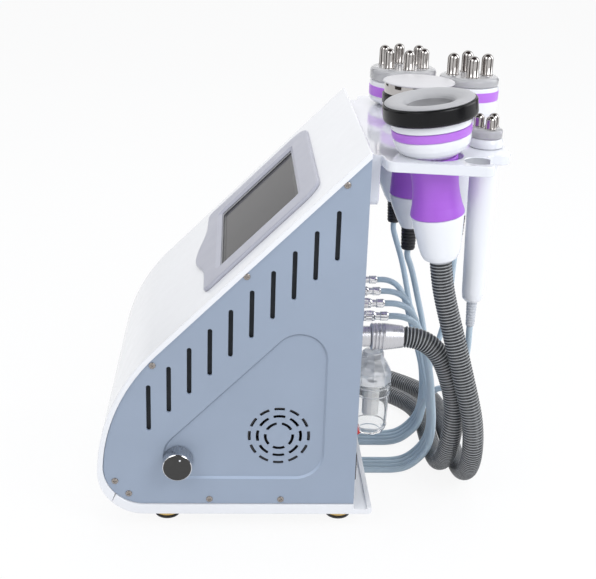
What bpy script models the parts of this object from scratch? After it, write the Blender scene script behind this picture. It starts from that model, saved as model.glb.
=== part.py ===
# Desktop body-care machine: a sloping touch-screen console with five corded handpieces in a rear holder.
# Units are metres, +Z is up, +X is the knob side and -Y is the side with the screen.
# The pieces are drawn about the console's middle plane and carried by one empty that centres the model.
import math

import bmesh
import bpy
import numpy as np
from mathutils import Matrix, Vector

# Clearances
GAP = 0.0003
OVERRUN = 0.002
MERGE = 0.000005

# Casing, drawn in side view: y runs to the back, z up
HALF_WIDTH = 0.1446
CASE_FRONT = -0.1415
CASE_BACK = 0.105
SLOPE_OFFSET = 0.2751
CASE_TIP_FLAT = 0.0021
FOOT_HEIGHT = 0.017
ARC_RADIUS = 0.1815
CORNER_RADIUS = 0.044
COVER_THICKNESS = 0.0054
PANEL_FLOOR = 0.0278
PANEL_THICKNESS = 0.0030
PANEL_RECESS = 0.0020
BACK_PANEL_THICKNESS = 0.0022
TRAY_WALL = 0.0060
TRAY_FLOOR = 0.0032
LIP_DEPTH = 0.018
LIP_HEIGHT = 0.0075
LIP_RIM = 0.005
LIP_RIM_HEIGHT = 0.0020
SEAM_ANGLE = math.radians(225)

# Vent slots of the side panels
SLOT_COUNT = 10
SLOT_WIDTH = 0.0043
SLOT_LENGTH = 0.047
SLOT_FIRST_Y = -0.0922
SLOT_DROP = 0.0301
SLOT_PITCH = (0.01893, 0.01904)

# Fan grille: rings of arc slots as (radius, count, start angle)
FAN_CENTRE = (0.0305, 0.1002)
GRILLE_SLOT_WIDTH = 0.0022
GRILLE_BRIDGE = 0.0066
GRILLE_RADII = (0.0283, 0.0206, 0.0130)
GRILLE_COUNTS = (12, 8, 5)
GRILLE_STARTS = (math.radians(90), math.radians(90), math.radians(270))

# Pressed three-cornered relief round the knob and the grille
RELIEF_DEPTH = 0.0012
RELIEF_DROP = 0.1066
RELIEF_RIGHT = 0.0736
RELIEF_BOTTOM = 0.0553
RELIEF_RADII = (0.020, 0.027, 0.026)

# Screen on the slope, measured along the slope down from its top back edge
BEZEL_SIDE = 0.031
BEZEL_ABOVE = 0.025
BEZEL_BELOW = 0.0215
BEZEL_TOP_CORNER = 0.019
BEZEL_LOWER_CORNER = 0.008
BEZEL_LEDGE_RISE = 0.001
BEZEL_BULGE_HALF_WIDTH = 0.074
BEZEL_BULGE_STEPS = 9
BEZEL_BULGE = 0.014
BEZEL_HEIGHT = 0.0033
BEZEL_EDGE = 0.0012
WINDOW_HALF_WIDTH = 0.086
WINDOW_TOP = 0.084
WINDOW_HEIGHT = 0.1015
WINDOW_CORNER = 0.003
WINDOW_BEVEL = 0.004
GLASS_SINK = 0.0008
GLASS_THICKNESS = 0.0030
DISPLAY_BORDER = 0.010
DISPLAY_FLANGE = 0.004
DISPLAY_BACK = (0.062, 0.038, 0.006)

# Knob and the vacuum regulator behind it
KNOB_CENTRE = (-0.065, 0.075)
KNOB_RADIUS = 0.0137
KNOB_REACH = 0.0174
KNOB_CHAMFER = 0.0012
KNOB_SKIRT = 0.0007
STEM_RADIUS = 0.003
STEM_LENGTH = 0.016
REGULATOR_NUT_RADIUS = 0.0105
REGULATOR_NUT_LENGTH = 0.0035
REGULATOR_BODY_RADIUS = 0.009
REGULATOR_BODY_LENGTH = 0.026
REGULATOR_BARB_RADIUS = 0.003
REGULATOR_BARB_LENGTH = 0.014

# Fan behind the grille
FAN_HALF_SIZE = 0.030
FAN_DEPTH = 0.015
FAN_CORNER = 0.004
FAN_BORE = 0.0283
FAN_BOSS_RADIUS = 0.0125
FAN_BOSS_DEPTH = 0.004
FAN_SPOKE = 0.003
ROTOR_HUB_RADIUS = 0.0120
ROTOR_TIP_RADIUS = 0.0270
ROTOR_DEPTH = 0.0095
ROTOR_BLADES = 7
BLADE_THICKNESS = 0.0012
BLADE_ROOT_PITCH = math.radians(48)
BLADE_TIP_PITCH = math.radians(28)
ROTOR_PIN_RADIUS = 0.0015
ROTOR_PIN_LENGTH = 0.0032

# Vacuum pump, power supply and board on the tray
PUMP_AT = (0.055, -0.040)
PUMP_MOTOR_RADIUS = 0.0185
PUMP_MOTOR_LENGTH = 0.050
PUMP_HEAD = (0.034, 0.046, 0.050)
PUMP_BASE = (0.060, 0.050, 0.005)
PUMP_BARB_RADIUS = 0.003
PUMP_BARB_LENGTH = 0.012
SUPPLY_AT = (-0.065, 0.010)
SUPPLY_SIZE = (0.098, 0.120, 0.036)
SUPPLY_FLANGE = 0.0015
SUPPLY_FLANGE_REACH = 0.010
BOARD_AT = (0.000, 0.150)
BOARD_SIZE = (0.110, 0.090)
BOARD_THICKNESS = 0.0016
BOARD_STANDOFF = 0.008
BOARD_POST_RADIUS = 0.003
BOARD_POST_INSET = 0.006
HEAT_SINK = (0.050, 0.030, 0.018)
TRANSFORMER = (0.026, 0.026, 0.020)

# Back panel fittings: the cable connectors
SOCKET_XS = (-0.050, -0.015, 0.020, 0.055)
SOCKET_HEIGHT = 0.1896
SOCKET_THREAD_RADIUS = 0.0044
SOCKET_FLANGE_RADIUS = 0.0068
SOCKET_FLANGE = 0.0025
SOCKET_NOSE = 0.0065
SOCKET_TAIL = 0.010
SOCKET_NUT_RADIUS = 0.0065
SOCKET_NUT = 0.0025
PLUG_NUT_RADIUS = 0.0053
PLUG_NUT_LENGTH = 0.011
PLUG_NECK_RADIUS = 0.0038
PLUG_CAP_RADIUS = 0.0046
PLUG_CAP_LENGTH = 0.008
PLUG_END = 0.140

# Back panel fittings: hose connector, filter, switch and inlet
HOSE_PORT = (0.095, 0.1845)
HOSE_FLANGE_RADIUS = 0.016
HOSE_FLANGE = 0.003
HOSE_THREAD_RADIUS = 0.010
HOSE_NOSE_END = 0.1178
HOSE_PLUG_RADIUS = 0.013
HOSE_PLUG_TIP_RADIUS = 0.01075
HOSE_PLUG_END = 0.1496
HOSE_GROOVES = 3
HOSE_GROOVE_DEPTH = 0.0008
HOSE_GROOVE_WIDTH = 0.0013
HOSE_GROOVE_PITCH = 0.0034
FILTER_AT = (0.050, 0.1278)
FILTER_HEAD_RADIUS = 0.0198
FILTER_HEAD_BOTTOM = 0.117
FILTER_HEAD_TOP = 0.150
FILTER_HEAD_SHOULDER = 0.004
FILTER_BOSS_HALF = 0.011
FILTER_STUB_RADIUS = 0.0055
FILTER_STUB_LENGTH = 0.012
FILTER_BOWL_RADIUS = 0.0190
FILTER_BOWL_FOOT_RADIUS = 0.0160
FILTER_BOWL_BOTTOM = 0.0607
FILTER_BOWL_ROUND = 0.005
FILTER_WALL = 0.0020
FILTER_ELEMENT_RADIUS = 0.0085
FILTER_ELEMENT_LENGTH = 0.036
FILTER_NIPPLE_RADIUS = 0.004
FILTER_NIPPLE_LENGTH = 0.004
SWITCH_AT = (0.100, 0.093)
SWITCH_HALF = (0.0105, 0.0105)
SWITCH_FRAME = 0.0022
SWITCH_FRAME_HEIGHT = 0.0022
SWITCH_DEPTH = 0.016
SWITCH_WALL = 0.0012
ROCKER_ANGLE = math.radians(12)
ROCKER_PIVOT_SINK = 0.0022
ROCKER_TIP_ANGLE = math.radians(52)
ROCKER_END_ANGLE = math.radians(104)
ROCKER_ROOT = 0.0065
INLET_AT = (0.100, 0.057)
INLET_FLANGE = (0.0240, 0.0140)
INLET_FLANGE_HEIGHT = 0.0028
INLET_BODY = (0.0140, 0.0105)
INLET_DEPTH = 0.020
INLET_CAVITY = (0.0112, 0.0078)
INLET_CAVITY_DEPTH = 0.016
INLET_CORNER = 0.003
INLET_PIN = (0.001, 0.002)
INLET_PIN_PITCH = 0.007
INLET_PIN_LENGTH = 0.013

# Holder plate behind the casing
PLATE_DROP = 0.008
PLATE_THICKNESS = 0.0095
PLATE_NECK_HALF_WIDTH = 0.121
PLATE_NECK_END = 0.116
PLATE_WING_START = (0.1435, 0.1185)
PLATE_WING_END = (0.157, 0.212)
PLATE_LOBE_START = 0.1135
PLATE_LOBE_END = 0.2355
PLATE_CORNERS = (0.004, 0.009, 0.008, 0.006, 0.014)
LEG_LENGTH = 0.048
LEG_THICKNESS = 0.010
LEG_CORNER = 0.009
SPARE_HOLE = (0.134, 0.201)
SPARE_HOLE_RADIUS = 0.0130
NECK_CLEARANCE = 0.0006

# Suction handpiece: radii and heights along its own axis, measured from the plate's top
SUCTION_AT = (0.112, 0.1630)
SUCTION_LEAN = (math.radians(8.1), math.radians(1.0))
SUCTION_NECK_RADIUS = 0.0190
SUCTION_BOWL_RADIUS = 0.0352
SUCTION_BOWL_HEIGHT = 0.0173
SUCTION_BAND_RADIUS = 0.0360
SUCTION_BAND_TOP = 0.0249
SUCTION_COLLAR_TOP = 0.0325
SUCTION_RING_RADIUS = 0.0425
SUCTION_RING_TOP = 0.0480
SUCTION_CUP_RADIUS = 0.0405
SUCTION_CUP_TOP = 0.0506
SUCTION_MOUTH_RADIUS = 0.0225
SUCTION_MOUTH_SINK = 0.0040
SUCTION_FLOOR_WALL = 0.0040
SUCTION_SEAT_RADIUS = 0.0245
SUCTION_GRIP_RADIUS = 0.0220
SUCTION_WAIST_RADIUS = 0.0212
SUCTION_WAIST_DEPTH = 0.031
SUCTION_FLARE_RADIUS = 0.0250
SUCTION_GRIP_TOP = 0.003
SUCTION_GRIP_BOTTOM = 0.0580
SUCTION_TAIL_RADIUS = 0.0182
SUCTION_TAIL_DEPTH = 0.0950
SUCTION_END_RADIUS = 0.0118
SUCTION_END_DEPTH = 0.1035

# Cavitation handpiece
CAVITATION_AT = (-0.010, 0.165)
CAVITATION_BOWL_RADIUS = 0.0338
CAVITATION_BOWL_HEIGHT = 0.0072
CAVITATION_BAND_RADIUS = 0.0352
CAVITATION_BAND_TOP = 0.0175
CAVITATION_COLLAR_TOP = 0.0203
CAVITATION_RING_RADIUS = 0.0355
CAVITATION_RING_TOP = 0.0307
CAVITATION_HEAD_RADIUS = 0.0338
CAVITATION_HEAD_TOP = 0.0428
CAVITATION_DISC_RADIUS = 0.0353
CAVITATION_DISC = 0.0014

# Six-electrode handpiece
SIX_AT = (-0.104, 0.162)
SIX_BODY_RADIUS = 0.0345
SIX_BODY_TOP = 0.0262
SIX_CAP_RADIUS = 0.0350
SIX_CAP_TOP = 0.0400
SIX_ELECTRODE_RADIUS = 0.0055
SIX_ELECTRODE_TOP = 0.0608
SIX_ELECTRODE_CIRCLE = 0.0213
SIX_ELECTRODE_COUNT = 6
SIX_ELECTRODE_START = math.radians(23)

# Four-electrode handpiece
FOUR_AT = (-0.057, 0.2235)
FOUR_BODY_RADIUS = 0.0310
FOUR_BODY_TOP = 0.0320
FOUR_CAP_RADIUS = 0.0303
FOUR_CAP_TOP = 0.0415
FOUR_ELECTRODE_RADIUS = 0.0060
FOUR_ELECTRODE_TOP = 0.0632
FOUR_ELECTRODE_CIRCLE = 0.0174
FOUR_ELECTRODE_COUNT = 4
FOUR_ELECTRODE_START = math.radians(0.5)

# Shared handle of the cavitation, six- and four-electrode handpieces, below the plate
HANDLE_TOP_RADIUS = 0.0200
HANDLE_FLARE_RADIUS = 0.0225
HANDLE_GRIP_TOP = 0.003
HANDLE_GRIP_BOTTOM = 0.072
HANDLE_CORE_RADIUS = 0.0160
HANDLE_TAIL_RADIUS = 0.0160
HANDLE_TAIL_DEPTH = 0.092
HANDLE_END_RADIUS = 0.0095
HANDLE_END_DEPTH = 0.107
RELIEF_BOOT_RADIUS = 0.0082
RELIEF_BOOT_DEPTH = 0.131
HEAD_ROUND = 0.0020
TRIM_ROUND = 0.0010
CAP_ROUND = 0.0040

# Three-electrode handpiece
THREE_AT = (0.080, 0.217)
THREE_NECK_RADIUS = 0.0130
THREE_END_RADIUS = 0.0105
THREE_END_DEPTH = 0.153
THREE_END_ROUND = 0.006
THREE_SHOULDER_RADIUS = 0.0155
THREE_SHOULDER_TOP = 0.0088
THREE_CAP_RADIUS = 0.0144
THREE_CAP_TOP = 0.0180
THREE_ELECTRODE_RADIUS = 0.0048
THREE_ELECTRODE_TOP = 0.0305
THREE_ELECTRODE_CIRCLE = 0.0082
THREE_ELECTRODE_COUNT = 3
THREE_ELECTRODE_START = math.radians(82)
THREE_BOOT_RADIUS = 0.0052
THREE_BOOT_DEPTH = 0.179
ELECTRODE_PLATE = 0.0020
ELECTRODE_EDGE = 0.0030

# Feet
FOOT_RADIUS = 0.01225
FOOT_X = 0.113
FOOT_YS = (-0.0768, 0.0925)
FOOT_PAD_RADIUS = 0.0105
FOOT_PAD = 0.0012

# Free cords: one hose and four cables, as routes of points in the casing's frame
HOSE_RADIUS = 0.0105
HOSE_VALLEY_RADIUS = 0.0095
HOSE_BORE_RADIUS = 0.0072
HOSE_RIBS = 72
CABLE_RADIUS = 0.00315
CORD_LOWEST = 0.0001
CORD_STRAIGHT = 0.008
STRAIGHT_STEP = 0.045
BEND_STEP = math.radians(22)
FINE_STEPS = 900
ROUTE_PLATE_TOP = 0.370
HOSE_DROP = (
    (0.1097, 0.1820, 0.2420), (0.1096, 0.1862, 0.2250), (0.1100, 0.1932, 0.2010), (0.1111, 0.2018, 0.1720),
    (0.1120, 0.2110, 0.1400), (0.1118, 0.2180, 0.1150), (0.1100, 0.2222, 0.0960), (0.1062, 0.2250, 0.0740))
HOSE_ROUTE = (
    (0.0974, 0.2265, 0.0530), (0.0836, 0.2272, 0.0352),
    (0.0655, 0.2275, 0.0220), (0.0440, 0.2275, 0.0136), (0.0190, 0.2275, 0.0108), (-0.0150, 0.2275, 0.0108),
    (-0.0550, 0.2275, 0.0108), (-0.0950, 0.2274, 0.0108), (-0.1175, 0.2255, 0.0108), (-0.1440, 0.2155, 0.0108),
    (-0.1673, 0.1962, 0.0108), (-0.2040, 0.1526, 0.0108), (-0.2408, 0.1090, 0.0108), (-0.2776, 0.0653, 0.0108),
    (-0.3143, 0.0217, 0.0108), (-0.3290, -0.0021, 0.0108), (-0.3350, -0.0350, 0.0108),
    (-0.3283, -0.0687, 0.0108), (-0.3092, -0.0972, 0.0108), (-0.2807, -0.1163, 0.0108),
    (-0.2470, -0.1230, 0.0108), (-0.2133, -0.1163, 0.0108), (-0.1848, -0.0972, 0.0108),
    (-0.1657, -0.0687, 0.0108), (-0.1590, -0.0350, 0.0108), (-0.1590, 0.0150, 0.0108),
    (-0.1590, 0.0660, 0.0108), (-0.1590, 0.1168, 0.0108), (-0.1523, 0.1505, 0.0108),
    (-0.1332, 0.1790, 0.0108), (-0.1047, 0.1981, 0.0108), (-0.0710, 0.2048, 0.0108),
    (-0.0330, 0.2049, 0.0108), (-0.0020, 0.2050, 0.0108), (0.0240, 0.2052, 0.0138), (0.0453, 0.2055, 0.0226),
    (0.0635, 0.2060, 0.0366), (0.0775, 0.2064, 0.0548), (0.0863, 0.2068, 0.0760), (0.0900, 0.2068, 0.0988),
    (0.0915, 0.2040, 0.1210), (0.0928, 0.1978, 0.1410), (0.0938, 0.1889, 0.1612), (0.0945, 0.1788, 0.1735),
    (0.0950, 0.1653, 0.1817))
LEG_CENTRE_X = -0.010
LEG_INNER_OFFSET = 0.020
LEG_PITCH = 0.0074
LEG_HEIGHT = 0.0033
FOLD_CENTRE_Y = -0.058
FOLD_STEPS = 6
LANDING = ((0.1975, 0.050), (0.1925, 0.0270), (0.1840, 0.0155), (0.1710, 0.0062), (0.1550, 0.0033))
LEG_YS = (0.115, 0.070, 0.020, -0.030)
SIX_DROP = ((-0.1036, 0.1634, 0.2250), (-0.1000, 0.1715, 0.2000),
            (-0.0870, 0.1805, 0.1600), (-0.0690, 0.1895, 0.1180), (-0.0560, 0.1965, 0.0820))
SIX_RISE = ((0.0335, 0.1955, 0.0800), (0.0400, 0.1905, 0.1120), (0.0460, 0.1840, 0.1420),
            (0.0510, 0.1760, 0.1670), (0.0545, 0.1640, 0.1845))
FOUR_DROP = ((-0.0570, 0.2237, 0.2250), (-0.0560, 0.2228, 0.2000),
             (-0.0530, 0.2205, 0.1600), (-0.0488, 0.2120, 0.1200), (-0.0450, 0.2030, 0.0850))
FOUR_RISE = ((0.0240, 0.1955, 0.0800), (0.0236, 0.1900, 0.1140), (0.0225, 0.1830, 0.1440),
             (0.0210, 0.1750, 0.1680), (0.0200, 0.1640, 0.1845))
CAVITATION_DROP = ((-0.0102, 0.1672, 0.2250), (-0.0118, 0.1735, 0.2060),
                   (-0.0155, 0.1805, 0.1800), (-0.0220, 0.1885, 0.1500), (-0.0290, 0.1950, 0.1130),
                   (-0.0340, 0.1985, 0.0800))
CAVITATION_RISE = ((0.0155, 0.1950, 0.0800), (0.0085, 0.1880, 0.1120), (0.0010, 0.1815, 0.1430),
                   (-0.0075, 0.1745, 0.1680), (-0.0130, 0.1640, 0.1845))
THREE_DROP = ((0.0796, 0.2172, 0.1770), (0.0760, 0.2175, 0.1600),
              (0.0660, 0.2160, 0.1350), (0.0480, 0.2120, 0.1130), (0.0250, 0.2085, 0.0970),
              (0.0020, 0.2050, 0.0850), (-0.0180, 0.2015, 0.0680))
THREE_RISE = ((0.0040, 0.1945, 0.0780), (-0.0060, 0.1895, 0.1010), (-0.0190, 0.1830, 0.1270),
              (-0.0310, 0.1765, 0.1500), (-0.0415, 0.1700, 0.1710), (-0.0475, 0.1610, 0.1850))

# Colours as (red, green, blue, roughness, metallic, alpha)
FINISHES = {
    "white_shell": (0.86, 0.87, 0.90, 0.30, 0.0, 1.0),
    "panel_grey": (0.33, 0.40, 0.52, 0.45, 0.0, 1.0),
    "bezel_lilac": (0.55, 0.55, 0.64, 0.30, 0.0, 1.0),
    "screen_glass": (0.19, 0.18, 0.19, 0.08, 0.0, 1.0),
    "dark_plastic": (0.03, 0.03, 0.035, 0.40, 0.0, 1.0),
    "ring_black": (0.02, 0.02, 0.022, 0.28, 0.0, 1.0),
    "grip_purple": (0.48, 0.16, 0.80, 0.45, 0.0, 1.0),
    "acrylic_white": (0.84, 0.85, 0.90, 0.12, 0.0, 1.0),
    "handpiece_white": (0.88, 0.89, 0.93, 0.28, 0.0, 1.0),
    "cap_grey": (0.62, 0.62, 0.64, 0.30, 0.0, 1.0),
    "cup_silver": (0.55, 0.55, 0.57, 0.35, 0.6, 1.0),
    "chrome": (0.80, 0.80, 0.82, 0.08, 1.0, 1.0),
    "aluminium": (0.66, 0.66, 0.70, 0.32, 1.0, 1.0),
    "brass": (0.72, 0.52, 0.22, 0.30, 1.0, 1.0),
    "gold_foot": (0.72, 0.50, 0.20, 0.30, 0.9, 1.0),
    "switch_red": (0.65, 0.03, 0.03, 0.30, 0.0, 1.0),
    "clear_bowl": (0.80, 0.86, 0.90, 0.05, 0.0, 0.35),
    "filter_white": (0.80, 0.80, 0.78, 0.80, 0.0, 1.0),
    "board_green": (0.03, 0.20, 0.08, 0.50, 0.0, 1.0),
    "steel": (0.60, 0.61, 0.63, 0.35, 0.9, 1.0),
    "cable_blue": (0.26, 0.38, 0.50, 0.45, 0.0, 1.0),
    "hose_grey": (0.14, 0.14, 0.15, 0.40, 0.0, 1.0),
}

SIDE_VIEW = (math.pi / 2, 0, math.pi / 2)
TOP_VIEW = (0, 0, 0)
TO_BACK = (-math.pi / 2, 0, 0)
TO_RIGHT = (0, math.pi / 2, 0)
ROUND_STEPS = 20
SMALL_STEPS = 12
ARC_STEP = math.radians(10)
FLAT_ANGLE = math.radians(0.01)

# Places that follow from the sizes above
CASE_TIP_HEIGHT = CASE_BACK + SLOPE_OFFSET - CASE_TIP_FLAT
WINDOW_BOTTOM = WINDOW_TOP + WINDOW_HEIGHT
BEZEL_HALF_WIDTH = WINDOW_HALF_WIDTH + BEZEL_SIDE
BEZEL_TOP = WINDOW_TOP - BEZEL_ABOVE
BEZEL_LEDGE = WINDOW_BOTTOM + BEZEL_BELOW
BEZEL_LOWEST = BEZEL_LEDGE + BEZEL_BULGE
PLATE_TOP = CASE_TIP_HEIGHT - PLATE_DROP
LEG_BOTTOM = PLATE_TOP - LEG_LENGTH
CASE_FLOOR = FOOT_HEIGHT + GAP / 3
TRAY_TOP = PANEL_FLOOR - GAP
BACK_FACE = CASE_BACK
PANEL_OUTER = HALF_WIDTH - PANEL_RECESS
PANEL_INNER = PANEL_OUTER - PANEL_THICKNESS
TRAY_INSIDE = CASE_FLOOR + TRAY_FLOOR
LIP_END = CASE_BACK + LIP_DEPTH
LEG_FACE = BACK_FACE + GAP


def start_scene():
    for old in list(bpy.data.objects):
        bpy.data.objects.remove(old, do_unlink=True)
    collections = {}
    for name in ("body_care_machine", "cutters"):
        collections[name] = bpy.data.collections.new(name)
        bpy.context.scene.collection.children.link(collections[name])
    return collections


COLLECTIONS = start_scene()
PARTS = COLLECTIONS["body_care_machine"]
CUTTERS = COLLECTIONS["cutters"]


def make_finish(name):
    red, green, blue, roughness, metallic, alpha = FINISHES[name]
    finish = bpy.data.materials.new(name)
    finish.use_nodes = True
    shader = finish.node_tree.nodes["Principled BSDF"]
    shader.inputs["Base Color"].default_value = (red, green, blue, 1)
    shader.inputs["Roughness"].default_value = roughness
    shader.inputs["Metallic"].default_value = metallic
    shader.inputs["Alpha"].default_value = alpha
    return finish


MATERIALS = {name: make_finish(name) for name in FINISHES}


def empty(name, location, rotation=(0, 0, 0), parent=None):
    holder = bpy.data.objects.new(name, None)
    holder.location = location
    holder.rotation_euler = rotation
    holder.parent = parent
    PARTS.objects.link(holder)
    return holder


def centre_shift():
    """How far the model moves along Y so that its box stands centred on the origin."""
    back_most = FOUR_AT[1] + FOUR_BODY_RADIUS
    return -(CASE_FRONT + back_most) / 2


MACHINE = empty("machine", (0, centre_shift(), 0))


def put(obj, finish, location=(0, 0, 0), rotation=(0, 0, 0), parent=None):
    """Place a finished piece, give it its material and shade its round faces smooth."""
    obj.location = location
    obj.rotation_euler = rotation
    obj.parent = parent or MACHINE
    obj.data.materials.clear()
    obj.data.materials.append(MATERIALS[finish])
    obj.data.shade_smooth()
    obj.data.set_sharp_from_angle(angle=math.radians(35))
    return obj


def as_cutter(obj):
    PARTS.objects.unlink(obj)
    CUTTERS.objects.link(obj)
    obj.hide_render = True
    obj.display_type = "WIRE"
    return obj


def combine(target, other, operation):
    """Cut OTHER from TARGET, or join it on; OTHER becomes a hidden cutter under the same parent."""
    other.parent = other.parent or MACHINE
    as_cutter(other)
    modifier = target.modifiers.new(operation.lower(), "BOOLEAN")
    modifier.operation = operation
    modifier.solver = "EXACT"
    modifier.object = other
    return target


def at(obj, location, rotation=(0, 0, 0), parent=None):
    obj.location = location
    obj.rotation_euler = rotation
    obj.parent = parent or MACHINE
    return obj


def link_mesh(name, mesh):
    obj = bpy.data.objects.new(name, mesh)
    PARTS.objects.link(obj)
    return obj


def from_bmesh(name, form):
    mesh = bpy.data.meshes.new(name)
    form.to_mesh(mesh)
    form.free()
    return link_mesh(name, mesh)


def block(name, size):
    """A box of full SIZE standing on its local origin."""
    form = bmesh.new()
    bmesh.ops.create_cube(form, size=1)
    width, depth, height = size
    bmesh.ops.transform(form, matrix=Matrix.Diagonal((width, depth, height, 1)), verts=form.verts)
    bmesh.ops.translate(form, vec=(0, 0, height / 2), verts=form.verts)
    return from_bmesh(name, form)


def rod(name, radius, length, steps=SMALL_STEPS, tip_radius=None):
    """A cylinder or cone standing on its local origin."""
    form = bmesh.new()
    bmesh.ops.create_cone(form, cap_ends=True, segments=steps, radius1=radius,
                          radius2=radius if tip_radius is None else tip_radius, depth=length)
    bmesh.ops.translate(form, vec=(0, 0, length / 2), verts=form.verts)
    return from_bmesh(name, form)


def turned(name, profile, steps=ROUND_STEPS, ring=False):
    """A solid of revolution; the profile runs down its outer side as (radius, height) pairs."""
    mesh = bpy.data.meshes.new(name)
    count = len(profile)
    edges = [(index, (index + 1) % count) for index in range(count if ring else count - 1)]
    edges = [(first, last) for first, last in edges if profile[first][0] or profile[last][0]]
    mesh.from_pydata([(radius, 0, height) for radius, height in profile], edges, [])
    obj = link_mesh(name, mesh)
    screw = obj.modifiers.new("turn", "SCREW")
    screw.axis = "Z"
    screw.steps = steps
    screw.render_steps = steps
    screw.use_merge_vertices = True
    screw.merge_threshold = MERGE
    return obj


def fillet(points, radii, closed=True):
    """Round the corners of a polyline; RADII holds one radius for each point, zero for a sharp one."""
    count = len(points)
    rounded = []
    for index, (point, radius) in enumerate(zip(points, radii)):
        if radius == 0 or (not closed and index in (0, count - 1)):
            rounded.append(tuple(point))
            continue
        corner = Vector(point)
        before = (Vector(points[index - 1]) - corner).normalized()
        after = (Vector(points[(index + 1) % count]) - corner).normalized()
        half = math.acos(max(-1.0, min(1.0, before.dot(after)))) / 2
        centre = corner + (before + after).normalized() * (radius / math.sin(half))
        first = corner + before * (radius / math.tan(half)) - centre
        sweep = math.pi - 2 * half
        turn = -1 if before.cross(after) > 0 else 1
        steps = max(2, math.floor(sweep / (2 * ARC_STEP) + 0.6))
        for step in range(steps + 1):
            swing = Matrix.Rotation(turn * sweep * step / steps, 2)
            rounded.append(tuple(centre + swing @ first))
    return rounded


def mirrored(half_outline):
    """Close a half outline, given on the positive side, with its mirror image."""
    return list(half_outline) + [(-x, y) for x, y in reversed(half_outline)]


def arc(centre, radius, start, end):
    """Points on an arc from angle START to END, both included."""
    steps = max(2, math.ceil(abs(end - start) / ARC_STEP))
    return [(centre[0] + radius * math.cos(start + (end - start) * step / steps),
             centre[1] + radius * math.sin(start + (end - start) * step / steps))
            for step in range(steps + 1)]


def plate(name, loops, thickness, edge=0):
    """A flat plate in its local XY plane, centred on it: the first loop is the outline, the rest holes.

    EDGE is the width of the chamfer along its edges.
    """
    curve = bpy.data.curves.new(name, "CURVE")
    curve.dimensions = "2D"
    curve.fill_mode = "BOTH"
    curve.extrude = thickness / 2 - edge
    curve.bevel_depth = edge
    curve.bevel_resolution = 0
    curve.offset = -edge
    for loop in loops:
        spline = curve.splines.new("POLY")
        spline.points.add(len(loop) - 1)
        for point, (x, y) in zip(spline.points, loop):
            point.co = (x, y, 0, 1)
        spline.use_cyclic_u = True
    return curve_to_mesh(name, curve, flat=True)


def curve_to_mesh(name, curve, flat=False):
    """Turn a curve into a closed mesh by welding its loose caps; FLAT joins the triangles of flat caps."""
    holder = bpy.data.objects.new(name, curve)
    PARTS.objects.link(holder)
    evaluated = holder.evaluated_get(bpy.context.evaluated_depsgraph_get())
    mesh = bpy.data.meshes.new_from_object(evaluated)
    bpy.data.objects.remove(holder, do_unlink=True)
    form = bmesh.new()
    form.from_mesh(mesh)
    bmesh.ops.remove_doubles(form, verts=form.verts, dist=MERGE)
    if flat:
        bmesh.ops.dissolve_limit(form, angle_limit=FLAT_ANGLE, verts=[], edges=form.edges)
    bmesh.ops.recalc_face_normals(form, faces=form.faces)
    form.to_mesh(mesh)
    form.free()
    mesh.name = name
    return link_mesh(name, mesh)


def tube(name, points, radii, resolution=2):
    """A tube along POINTS with a radius for each, as a closed mesh."""
    largest = max(radii)
    curve = bpy.data.curves.new(name, "CURVE")
    curve.dimensions = "3D"
    curve.bevel_depth = largest
    curve.bevel_resolution = resolution
    curve.use_fill_caps = True
    spline = curve.splines.new("POLY")
    spline.points.add(len(points) - 1)
    for point, place, radius in zip(spline.points, points, radii):
        point.co = (*place, 1)
        point.radius = radius / largest
    return curve_to_mesh(name, curve)


def edge_bevel(obj, width, angle=math.radians(50), segments=2):
    bevel = obj.modifiers.new("edges", "BEVEL")
    bevel.width = width
    bevel.segments = segments
    bevel.limit_method = "ANGLE"
    bevel.angle_limit = angle
    return obj


# Casing outlines in side view

def casing_circles(inset, floor):
    """Centres and radii of the lower corner circle and of the large front circle, both moved in by INSET."""
    corner_radius = CORNER_RADIUS - inset
    front_radius = ARC_RADIUS - inset
    corner = (CASE_FRONT + inset + corner_radius, floor + corner_radius)
    rise = SLOPE_OFFSET - inset * math.sqrt(2) - front_radius * math.sqrt(2)
    reach = front_radius - corner_radius
    mean = (corner[0] + corner[1] - rise) / 2
    spread = (corner[1] - rise - corner[0]) / 2
    y = mean + math.sqrt(reach ** 2 / 2 - spread ** 2)
    return corner, corner_radius, (y, y + rise), front_radius


def front_outline(inset, floor, end_angle):
    """The casing's front in side view: from the slope, round the front and into the lower corner."""
    corner, corner_radius, front, front_radius = casing_circles(inset, floor)
    meeting = math.atan2(corner[1] - front[1], corner[0] - front[0])
    if meeting < 0:
        meeting += 2 * math.pi
    points = arc(front, front_radius, math.radians(135), meeting)
    return points + arc(corner, corner_radius, meeting, end_angle)[1:]


def slope_point(y, inset):
    return (y, y + SLOPE_OFFSET - inset * math.sqrt(2))


def front_cover():
    outer_tip = (CASE_BACK, CASE_TIP_HEIGHT)
    outer_top = (CASE_TIP_HEIGHT - SLOPE_OFFSET, CASE_TIP_HEIGHT)
    outer = front_outline(0, CASE_FLOOR, SEAM_ANGLE)
    inner = front_outline(COVER_THICKNESS, PANEL_FLOOR, SEAM_ANGLE)
    outline = [outer_tip, outer_top] + outer + list(reversed(inner)) + [slope_point(CASE_BACK, COVER_THICKNESS)]
    cover = plate("front_cover", [outline], 2 * HALF_WIDTH, COVER_THICKNESS / 6)
    put(cover, "white_shell", rotation=SIDE_VIEW)
    opening = plate("screen_opening", [window_outline(0)], 4 * COVER_THICKNESS)
    combine(cover, at(opening, slope_place(0, 0), slope_turn()), "DIFFERENCE")
    return cover


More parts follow.
